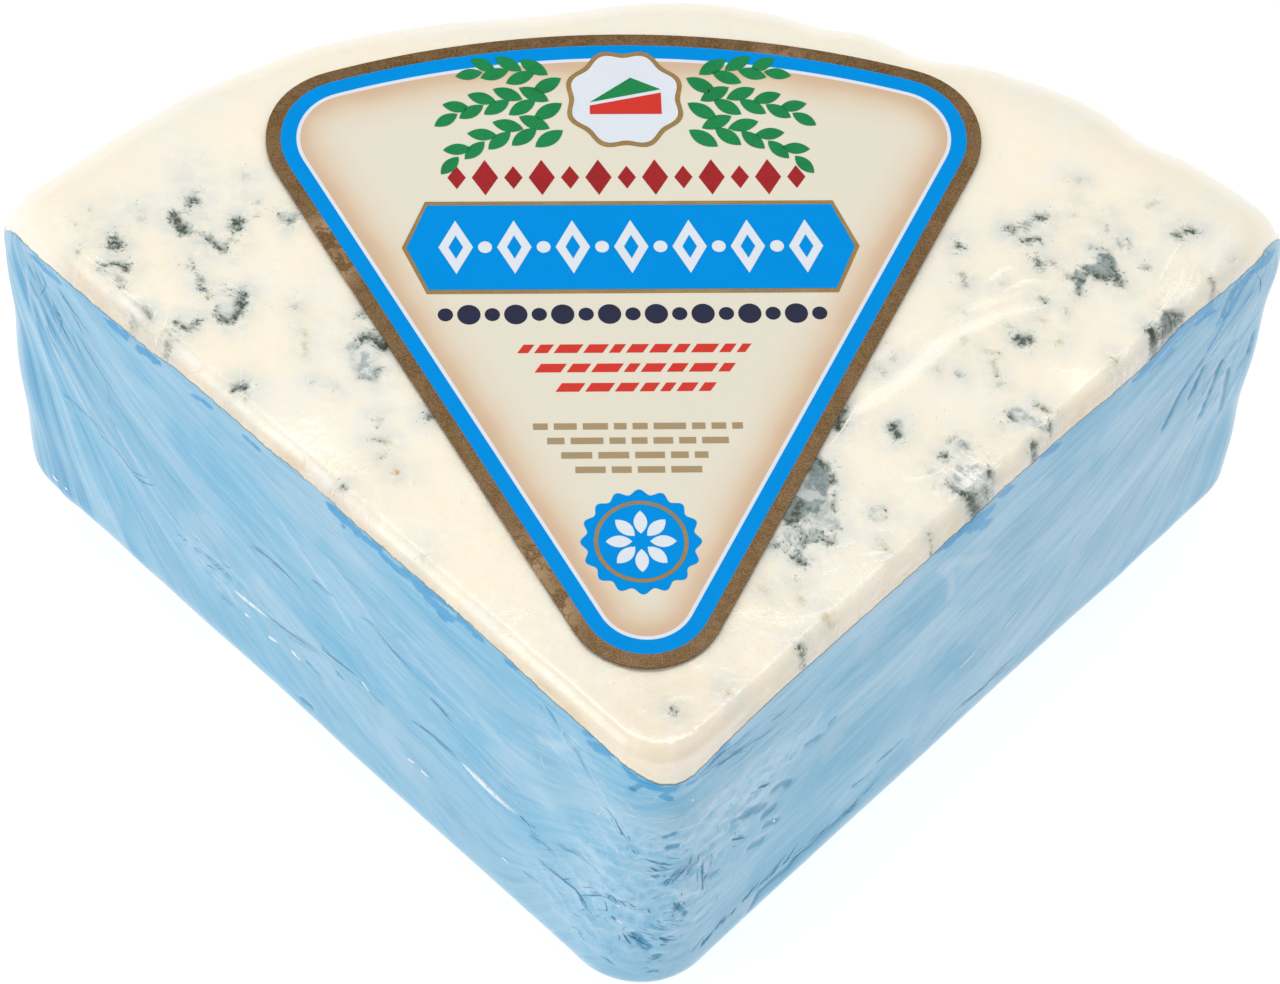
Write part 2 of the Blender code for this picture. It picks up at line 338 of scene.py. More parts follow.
def dent(point):
    """How far the surface lies inside its plain form, as in the CAD."""
    x, y, z = from_apex(point, 1.0)
    turn = np.degrees(np.arctan2(x, y))
    on_rim = smooth_step(WHEEL_RADIUS * 0.895, WHEEL_RADIUS * 0.98, np.hypot(x, y))
    on_rim = on_rim * smooth_step(HEIGHT * 0.55, HEIGHT * 0.93, z)
    depth = sum(on_rim * deep * bell(turn - at, width) for at, deep, width in RIM_DENTS)
    for side, at, deep, width in EDGE_CHIPS:
        away = np.hypot(x - side * math.sin(HALF_ANGLE) * at, y - math.cos(HALF_ANGLE) * at)
        depth = depth + deep * bell(np.hypot(away, HEIGHT - z), width)
    clear_of_base = smooth_step(BASE_EDGE_RADIUS * 0.3, BASE_EDGE_RADIUS * 2.5, z)
    clear_of_top = 1 - smooth_step(HEIGHT * 0.75, HEIGHT * 0.95, z)
    wave = 2 * math.pi / WALL_WAVELENGTH
    swell = np.sin(wave * (point[..., 0] + 0.6 * z)) * np.sin(wave * (0.7 * point[..., 1] - z) + 1.0)
    return depth + WALL_WAVE * swell * clear_of_base * clear_of_top


def dented(rows):
    """Rows of a closed band with the wedge's dents pressed into them, and their outward directions."""
    rows = np.stack(rows)
    across = np.roll(rows, -1, 1) - np.roll(rows, 1, 1)
    normals = np.cross(across, np.gradient(rows, axis=0))
    normals = normals / np.maximum(np.linalg.norm(normals, axis=-1, keepdims=True), 1e-12)
    return rows - dent(rows)[..., None] * normals, normals


# The fine surface of the top: how far in it goes, under the label, and the space between its rows.
TOP_REACH = 0.0400
CHEESE_SPACING = 0.00054
CLEAR_SPACING = 0.00072
SHOULDER_STEPS = 14


def upper_rows(run, depth, spacing):
    """Rows up over the shoulder of the cut edge, and then from the edge of the top inwards."""
    turns = np.linspace(0, math.pi / 2, SHOULDER_STEPS + 1)[1:]
    heights = HEIGHT - CUT_EDGE_RADIUS + (CUT_EDGE_RADIUS - depth) * np.sin(turns)
    count = int(TOP_REACH / spacing)
    reaches = [TOP_REACH * (step + 1) / count for step in range(count)]
    rows = [wall_point(run, z, depth) for z in heights]
    return rows + [wall_point(run, HEIGHT - depth, depth, reach) for reach in reaches]


def outline_runs(tip, side, corner, rind):
    """Runs of a closed outline's points, anticlockwise from the tip, with so many on each half's parts."""
    counts = zip(PART_STARTS, PART_STARTS[1:], (tip, side, corner, rind))
    half = [np.linspace(start, end, count, endpoint=False) for start, end, count in counts]
    half = np.concatenate([*half, [HALF_ROUND - 1e-6]])
    return np.concatenate([half, -half[:0:-1]])


# ---------------------------------------------------------------- meshes


def make_piece(name, points, faces, look, smooth=True, numbers=None, face_looks=None):
    """One object from points and faces, with its material or materials and numbers held at its points."""
    mesh = bpy.data.meshes.new(name)
    mesh.from_pydata(np.asarray(points).tolist(), [], faces)
    for material in look if isinstance(look, (list, tuple)) else [look]:
        mesh.materials.append(material)
    if smooth:
        mesh.shade_smooth()
    if face_looks is not None:
        mesh.polygons.foreach_set("material_index", np.asarray(face_looks, np.int32))
    for key, values in (numbers or {}).items():
        values = np.asarray(values, np.float32)
        kind = "FLOAT_VECTOR" if values.ndim == 2 else "FLOAT"
        field = "vector" if values.ndim == 2 else "value"
        mesh.attributes.new(key, kind, "POINT").data.foreach_set(field, values.ravel())
    mesh.update()
    made = bpy.data.objects.new(name, mesh)
    bpy.context.scene.collection.objects.link(made)
    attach(made, "root")
    return made


def band_faces(count, across, base=False, lid=False):
    """Four-cornered faces of a closed band of rows, which run upwards or inwards, and of its ends."""
    low = np.arange((count - 1) * across).reshape(-1, across)
    ahead = np.roll(low, -1, 1)
    faces = np.stack([low, ahead, ahead + across, low + across], -1).reshape(-1, 4).tolist()
    if base:
        faces.append(list(range(across))[::-1])
    if lid:
        faces.append(list(range((count - 1) * across, count * across)))
    return faces


# ---------------------------------------------------------------- materials


class Net:
    """A material's net of nodes, with one short call for each kind."""

    def __init__(self, name):
        self.material = bpy.data.materials.new(name)
        self.material.use_nodes = True
        self.tree = self.material.node_tree
        self.tree.nodes.clear()

    def node(self, kind, inputs=(), **settings):
        made = self.tree.nodes.new(kind)
        for key, value in settings.items():
            setattr(made, key, value)
        for key, value in dict(inputs).items():
            if isinstance(value, bpy.types.NodeSocket):
                self.tree.links.new(value, made.inputs[key])
            else:
                made.inputs[key].default_value = value
        return made

    def place(self):
        return self.node("ShaderNodeTexCoord").outputs["Object"]

    def number(self, name):
        return self.node("ShaderNodeAttribute", attribute_name=name).outputs["Fac"]

    def vector(self, name):
        return self.node("ShaderNodeAttribute", attribute_name=name).outputs["Vector"]

    def noise(self, vector, size, detail=2.0, roughness=0.5, distortion=0.0):
        inputs = {"Vector": vector, "Scale": 1 / size, "Detail": detail}
        inputs.update(Roughness=roughness, Distortion=distortion)
        return self.node("ShaderNodeTexNoise", inputs).outputs["Fac"]

    def streaks(self, flow, across, along, detail, roughness, distortion):
        """Noise drawn out along a flow."""
        inputs = {"Vector": flow, "Scale": (across, along, along)}
        stretched = self.node("ShaderNodeMapping", inputs).outputs["Vector"]
        return self.noise(stretched, 1.0, detail, roughness, distortion)

    def warp(self, vector, size, amount, seed=0.0):
        """Places moved about by noise, so that what is drawn there gets uneven edges."""
        moved = self.vector_math("ADD", {0: vector, 1: (seed, seed, seed)})
        colour = self.node("ShaderNodeTexNoise", {"Vector": moved, "Scale": 1 / size, "Detail": 2.0})
        centred = self.vector_math("SUBTRACT", {0: colour.outputs["Color"], 1: (0.5, 0.5, 0.5)})
        scaled = self.vector_math("SCALE", {0: centred, "Scale": amount})
        return self.vector_math("ADD", {0: vector, 1: scaled})

    def vector_math(self, operation, inputs):
        return self.node("ShaderNodeVectorMath", inputs, operation=operation).outputs[0]

    def math(self, operation, a, b=0.0, clamp=False):
        return self.node("ShaderNodeMath", {0: a, 1: b}, operation=operation, use_clamp=clamp).outputs[0]

    def plus(self, a, b):
        return self.math("ADD", a, b)

    def minus(self, a, b):
        return self.math("SUBTRACT", a, b)

    def times(self, a, b, clamp=False):
        return self.math("MULTIPLY", a, b, clamp)

    def wobble(self, value, amount):
        """Noise made to swing both ways from zero."""
        return self.times(self.minus(value, 0.5), amount)

    def step(self, value, low, high, bottom=0.0, top=1.0):
        inputs = {"Value": value, "From Min": low, "From Max": high, "To Min": bottom, "To Max": top}
        return self.node("ShaderNodeMapRange", inputs, interpolation_type="SMOOTHSTEP").outputs["Result"]

    def mix(self, factor, a, b):
        return self.node("ShaderNodeMix", {0: factor, 6: a, 7: b}, data_type="RGBA").outputs[2]

    def veil(self, under, over, field, low, high, most=1.0, where=None):
        """One colour over another, from nothing where the field is low to the most where it is high."""
        share = self.step(field, low, high, 0.0, most)
        return self.mix(share if where is None else self.times(where, share), under, over)

    def mix_shaders(self, factor, a, b):
        return self.node("ShaderNodeMixShader", {0: factor, 1: a, 2: b}).outputs[0]

    def clear(self):
        return self.node("ShaderNodeBsdfTransparent").outputs[0]

    def ramp(self, value, stops):
        made = self.node("ShaderNodeValToRGB", {"Fac": value})
        elements = made.color_ramp.elements
        while len(elements) < len(stops):
            elements.new(0.5)
        for element, (at, colour) in zip(elements, stops):
            element.position = at
            element.color = colour
        return made.outputs["Color"]

    def bump(self, height, distance, strength=1.0, normal=None):
        inputs = {"Height": height, "Distance": distance, "Strength": strength}
        if normal is not None:
            inputs["Normal"] = normal
        return self.node("ShaderNodeBump", inputs).outputs["Normal"]

    def principled(self, **inputs):
        named = {key.replace("_", " "): value for key, value in inputs.items()}
        return self.node("ShaderNodeBsdfPrincipled", named).outputs["BSDF"]

    def finish(self, surface):
        self.node("ShaderNodeOutputMaterial", {"Surface": surface})
        return self.material


def srgb(red, green, blue):
    """A colour given as 0 to 255 on screen, as linear light."""
    shown = [level / 255 for level in (red, green, blue)]
    linear = [level / 12.92 if level <= 0.04045 else ((level + 0.055) / 1.055) ** 2.4 for level in shown]
    return (*linear, 1.0)


CREAM = srgb(253, 243, 221)
CREAM_PALE = srgb(249, 243, 227)
# Painted shade: the darker, warmer cream under the cut edges and at the tip.
CREAM_SHADE_WARM = srgb(220, 197, 160)
HALO_GREY = srgb(198, 209, 210)
MOULD_DARK = srgb(48, 62, 52)
MOULD_GREEN = srgb(128, 144, 134)
MOULD_SLATE = srgb(104, 120, 120)
MOULD_GREY = srgb(160, 172, 172)
CURD_PALE = srgb(222, 225, 221)
OLIVE_DARK = srgb(96, 92, 58)
OLIVE = srgb(150, 138, 88)
OLIVE_PALE = srgb(196, 188, 140)
RUST = srgb(205, 158, 92)

FILM_BLUE = srgb(115, 184, 217)
FILM_PALE = srgb(142, 192, 219)
FILM_DEEP = srgb(56, 150, 198)
FILM_INK = srgb(0, 149, 207)
FILM_TEAL = srgb(30, 138, 182)
FILM_CREASE = srgb(50, 146, 188)
FILM_DARK = srgb(0, 92, 126)
# The next two colours are painted highlight and painted sheen on the film.
FILM_HIGHLIGHT_BLUE = srgb(160, 208, 234)
FILM_SHEEN_LILAC = srgb(174, 206, 227)
FILM_WHITE = srgb(248, 252, 254)


def cheese_look():
    """Cream paste with blue-green veins: halos, curds and mould fillings, then specks and cracks."""
    net = Net("cheese")
    place = net.place()
    cloud = net.noise(net.warp(place, 0.010, 0.008), 0.013, 4.0, 0.60)
    colour = net.veil(CREAM, CREAM_PALE, cloud, 0.40, 0.64)
    # Painted shade: a streaked, darker, warmer cream under the cut edges and at the tip.
    streaky = net.step(net.noise(place, 0.0030, 3.0, 0.6), 0.30, 0.62, 0.55, 1.0)
    colour = net.mix(net.times(net.number("warm_shade"), streaky, clamp=True), colour, CREAM_SHADE_WARM)
    patchy = net.noise(net.warp(place, 0.003, 0.003), 0.0027, 4.0, 0.65)
    cool = net.times(net.number("halo"), net.step(patchy, 0.28, 0.70, 0.30, 1.0), clamp=True)
    colour = net.mix(net.times(cool, 0.85), colour, HALO_GREY)

    fine = net.noise(net.warp(place, 0.0011, 0.0010, 7.0), 0.00062, 3.0, 0.60)
    mottle = net.noise(net.warp(place, 0.0016, 0.0016, 3.0), 0.0014, 3.0, 0.62)
    ragged = net.wobble(mottle, 0.8)
    curds = net.veil(MOULD_GREY, CURD_PALE, mottle, 0.38, 0.58)
    colour = net.veil(colour, curds, net.plus(net.number("curd"), ragged), 0.20, 0.70, 0.85)
    filling = net.veil(MOULD_SLATE, MOULD_GREY, mottle, 0.36, 0.66, 0.8)
    islands = net.noise(net.warp(place, 0.0022, 0.0024, 2.0), 0.0032, 2.0, 0.5)
    filling = net.veil(filling, CURD_PALE, islands, 0.52, 0.60, 0.60)
    slate = net.plus(net.number("slate"), net.times(ragged, 0.7))
    colour = net.veil(colour, filling, slate, 0.18, 0.50, 0.94)
    colour = veined(net, colour, fine, mottle)

    normal = net.bump(net.noise(place, 0.0050, 2.0), 0.0006, 0.5)
    normal = net.bump(net.noise(place, 0.0007, 3.0, 0.6), 0.00012, 0.6, normal)
    return net.finish(net.principled(
        Base_Color=colour, Roughness=0.45, Specular_IOR_Level=0.2, Normal=normal,
        Subsurface_Weight=0.10, Subsurface_Scale=0.003,
    ))


def veined(net, colour, fine, mottle):
    """The colour with veins: broken dark lines, a green-grey fringe and grains strewn round them."""
    tint = net.times(net.number("tint"), 0.5)
    dark = net.ramp(tint, [(0.0, MOULD_DARK), (0.35, OLIVE_DARK), (0.6, OLIVE), (1.0, RUST)])
    fringe = net.ramp(tint, [(0.0, MOULD_GREEN), (0.5, OLIVE_PALE), (1.0, RUST)])
    off = net.plus(net.number("offset"), net.plus(net.wobble(mottle, 1.3), net.wobble(fine, 1.1)))
    ratio = net.math("DIVIDE", net.math("ABSOLUTE", off), net.number("girth"))
    strength = net.number("vein")
    some = net.plus(strength, net.wobble(mottle, 1.8))
    colour = net.veil(colour, fringe, some, 0.05, 0.95, 0.66, net.step(ratio, 3.8, 0.5))
    grains = net.plus(fine, net.times(net.number("speck"), 0.24))
    colour = net.veil(colour, fringe, grains, 0.67, 0.80, 0.55)
    colour = net.veil(colour, dark, grains, 0.78, 0.88, 0.85)
    held = net.plus(strength, net.wobble(fine, 2.6))
    return net.veil(colour, dark, held, 0.42, 1.05, 0.86, net.step(ratio, 1.7, 0.4))


def blue_look():
    """The printed film, with painted highlight and shade in streaks that flow out of the rear corners, and
    painted lilac sheen.
    """
    net = Net("blue_film")
    place = net.place()
    flow = net.vector("flow")
    fan = net.number("fan")
    calm = net.minus(1.0, net.times(net.number("crumple"), 0.75))
    broad = net.streaks(flow, 0.10, 0.022, 3.0, 0.55, 0.8)
    facet = net.noise(net.warp(place, 0.016, 0.016), 0.017, 2.0, 0.5)
    streak = net.streaks(flow, 0.36, 0.045, 4.0, 0.60, 0.5)
    rays = net.streaks(flow, 0.16, 0.020, 3.0, 0.62, 0.3)
    narrow = net.streaks(flow, 0.42, 0.030, 3.0, 0.62, 0.3)
    fine = net.streaks(flow, 1.5, 0.10, 2.0, 0.6, 0.3)
    tone = FILM_BLUE
    # A broad paler tone, then painted lilac sheen on facets and painted highlight and shade in streaks along
    # the pleats.
    for colour, field, low, high, most, where in (
        (FILM_PALE, broad, 0.36, 0.66, 1.0, None), (FILM_SHEEN_LILAC, facet, 0.48, 0.60, 0.34, None),
        (FILM_HIGHLIGHT_BLUE, streak, 0.54, 0.76, 0.32, calm), (FILM_DEEP, streak, 0.46, 0.26, 0.24, calm),
        (FILM_DEEP, rays, 0.53, 0.38, 0.80, fan), (FILM_HIGHLIGHT_BLUE, rays, 0.53, 0.66, 0.50, fan),
        (FILM_DEEP, narrow, 0.48, 0.34, 0.60, fan), (FILM_HIGHLIGHT_BLUE, narrow, 0.54, 0.68, 0.36, fan),
        (FILM_DEEP, fine, 0.50, 0.34, 0.26, None), (FILM_SHEEN_LILAC, fine, 0.52, 0.68, 0.28, None),
    ):
        tone = net.veil(tone, colour, field, low, high, most, where)
    tone = film_marks(net, tone, place, streak)

    normal = net.bump(net.streaks(flow, 0.55, 0.07, 3.0, 0.55, 0.5), 0.0006, 0.22)
    normal = net.bump(net.noise(place, 0.0016, 2.0), 0.00010, 0.35, normal)
    film = net.principled(Base_Color=tone, Roughness=0.20, Specular_IOR_Level=0.25, Normal=normal)
    uneven = net.noise(net.warp(place, 0.0009, 0.0006, 9.0), 0.0013, 3.0, 0.7)
    over = net.plus(net.number("over"), net.wobble(uneven, 1.8))
    return net.finish(net.mix_shaders(net.step(over, -0.14, 0.14), film, net.clear()))


def film_marks(net, tone, place, streak):
    """Painted sheen on pale folds, painted light, shade and highlight in crumples, wet ink, and pockets
    partly deepened by painted shadow, over the film's tone.
    """
    brushed = net.wobble(streak, 1.2)
    # Painted sheen: pale lilac on the folds that stand off.
    tone = net.veil(tone, FILM_SHEEN_LILAC, net.plus(net.number("pale"), brushed), 0.20, 0.95, 0.60)
    crumple = net.number("crumple")
    # Painted light: the crumpled places are lightened.
    tone = net.mix(net.times(crumple, 0.48), tone, FILM_HIGHLIGHT_BLUE)
    # Painted shade and painted highlight in the crumples: deep blue in their hollows, lilac on their facets.
    large, small = (0.0052, 0.0, 0.16, 0.62), (0.0017, 3.0, 0.26, 0.54)
    for size, seed, deep, light in (large, small):
        crushed = net.noise(net.warp(place, size, size * 1.2, seed), size, 3.0, 0.6)
        tone = net.veil(tone, FILM_DEEP, crushed, 0.50, 0.36, deep, crumple)
        tone = net.veil(tone, FILM_SHEEN_LILAC, crushed, 0.52, 0.66, light, crumple)
    edge = net.minus(net.noise(net.warp(place, 0.0016, 0.0016, 5.0), 0.0020, 3.0, 0.6), 0.5)
    ink = net.number("ink")
    uneven = net.plus(net.times(edge, 1.5), net.times(brushed, 1.5))
    tone = net.veil(tone, FILM_INK, ink, 0.02, 0.20, 0.90, net.step(net.plus(ink, uneven), 0.30, 0.72))
    # Deep teal in the pockets: partly the film's own deeper blue where it clings, partly painted shadow in
    # the dents.
    return net.veil(tone, FILM_TEAL, net.plus(net.number("pocket"), net.times(edge, 0.8)), 0.30, 0.80, 0.80)


def clear_look():
    """The clear film: nothing but gloss, with milky white where it is folded, partly a painted highlight, and
    a painted highlight along its cut edges.
    """
    net = Net("clear_film")
    place = net.place()
    # Milky white along feathered folds: partly folded film, partly painted highlight.
    feather = net.streaks(net.vector("pleat"), 1.0, 0.16, 2.0, 0.6, 0.3)
    milk_and_highlight = net.times(net.number("milk_and_highlight"), net.step(feather, 0.48, 0.70, 0.0, 0.70), clamp=True)
    worn = net.noise(net.warp(place, 0.0030, 0.0030, 4.0), 0.0034, 3.0, 0.6)
    # Painted highlight: a broken white band along the cut edges.
    edge_highlight = net.plus(net.number("edge_highlight"), net.wobble(worn, 0.7))
    milk_and_highlight = net.math("MAXIMUM", milk_and_highlight, net.step(edge_highlight, 0.15, 0.95, 0.0, 0.85))
    ripple = net.noise(net.warp(place, 0.006, 0.004), 0.0052, 3.0, 0.6)
    normal = net.bump(feather, 0.0003, net.step(net.number("milk_and_highlight"), 0.0, 0.5, 0.10, 0.5))
    normal = net.bump(ripple, 0.0009, 0.30, normal)
    gloss_inputs = {"Color": (1, 1, 1, 1), "Roughness": 0.24, "Normal": normal}
    gloss = net.node("ShaderNodeBsdfGlossy", gloss_inputs).outputs[0]
    fresnel = net.node("ShaderNodeFresnel", {"IOR": 1.45, "Normal": normal}).outputs[0]
    behind = net.node("ShaderNodeNewGeometry").outputs["Backfacing"]
    film = net.mix_shaders(net.times(fresnel, net.minus(1.0, behind)), net.clear(), gloss)
    white = net.principled(Base_Color=srgb(255, 251, 241), Roughness=0.35, Specular_IOR_Level=0.3)
    return net.finish(net.mix_shaders(milk_and_highlight, film, white))


def fold_look():
    """A standing fold of the clear film: two or three layers, so milkier than the film under it; its white is
    partly a painted highlight.
    """
    net = Net("clear_fold")
    broken = net.noise(net.place(), 0.0080, 2.0, 0.5)
    cover = net.times(net.number("crest"), net.step(broken, 0.36, 0.60, 0.75, 1.0), clamp=True)
    cover = net.times(net.step(cover, 0.0, 0.9), net.number("deep"))
    white = net.principled(Base_Color=srgb(252, 249, 240), Roughness=0.40, Specular_IOR_Level=0.2)
    return net.finish(net.mix_shaders(cover, net.clear(), white))


def crease_look():
    """A fold of the blue film: dark in its crease, partly deeper film and partly painted shade, with a
    painted highlight along its upper side and painted white glints, fading at its edges.
    """
    net = Net("blue_fold")
    broken = net.noise(net.place(), 0.0011, 2.0)
    deep = net.number("deep")
    tone = net.mix(deep, FILM_CREASE, FILM_DARK)
    # Painted highlight along the fold's upper side.
    tone = net.veil(tone, FILM_HIGHLIGHT_BLUE, net.number("lane"), 0.1, 0.7)
    # Painted highlight: white glints.
    tone = net.mix(net.number("shine"), tone, FILM_WHITE)
    film = net.principled(Base_Color=tone, Roughness=0.40, Specular_IOR_Level=0.06)
    cover = net.times(net.step(net.number("crest"), 0.05, 0.90), net.step(broken, 0.25, 0.50, 0.45, 1.0))
    cover = net.times(cover, net.step(deep, 0.0, 0.9, 0.20, 0.85))
    return net.finish(net.mix_shaders(cover, net.clear(), film))


def paper_look(name, colour, mottle=None, shine=0.2):
    """Printed paper, with the fine grain of its ink and a soft sheen."""
    net = Net(name)
    place = net.place()
    other = mottle or tuple(c * 0.86 for c in colour[:3]) + (1.0,)
    tone = net.veil(colour, other, net.noise(place, 0.00030, 2.0, 0.6), 0.35, 0.75, 0.35)
    tone = net.veil(tone, other, net.noise(place, 0.0060, 3.0, 0.6), 0.45, 0.70, 0.25)
    normal = net.bump(net.noise(place, 0.0009, 3.0, 0.6), 0.00005, 0.5)
    paper = net.principled(Base_Color=tone, Roughness=0.35, Specular_IOR_Level=shine, Normal=normal)
    return net.finish(paper)


def gold_look():
    """Brown-gold ink, speckled, with pale scuffs where it is rubbed."""
    net = Net("label_gold")
    place = net.place()
    grain = net.noise(place, 0.00028, 2.0, 0.7)
    tone = net.ramp(grain, [(0.30, srgb(82, 58, 28)), (0.50, srgb(112, 83, 46)), (0.72, srgb(146, 118, 74))])
    scuffed = net.noise(net.warp(place, 0.003, 0.003), 0.0030, 4.0, 0.7)
    worn = net.times(net.number("scuff"), net.step(scuffed, 0.44, 0.56), clamp=True)
    tone = net.mix(worn, tone, srgb(182, 150, 116))
    return net.finish(net.principled(
        Base_Color=tone, Roughness=0.36, Metallic=0.25, Specular_IOR_Level=0.3,
        Normal=net.bump(grain, 0.00004, 0.5),
    ))


def cream_paper_look():
    """The label's cream field: peach along its rim, plain towards the middle."""
    net = Net("label_cream")
    place = net.place()
    uneven = net.plus(net.number("inset"), net.wobble(net.noise(place, 0.012, 2.0), 0.0030))
    tone = net.ramp(net.step(uneven, 0.0050, 0.0135), [
        (0.0, srgb(213, 182, 151)), (0.22, srgb(224, 203, 177)),
        (0.55, srgb(228, 216, 194)), (1.0, srgb(230, 224, 206)),
    ])
    tone = net.veil(tone, srgb(205, 196, 172), net.noise(place, 0.00035, 3.0, 0.7), 0.35, 0.70, 0.12)
    normal = net.bump(net.noise(place, 0.0011, 3.0, 0.6), 0.00005, 0.5)
    return net.finish(net.principled(Base_Color=tone, Roughness=0.40, Specular_IOR_Level=0.2, Normal=normal))


# ---------------------------------------------------------------- the cheese

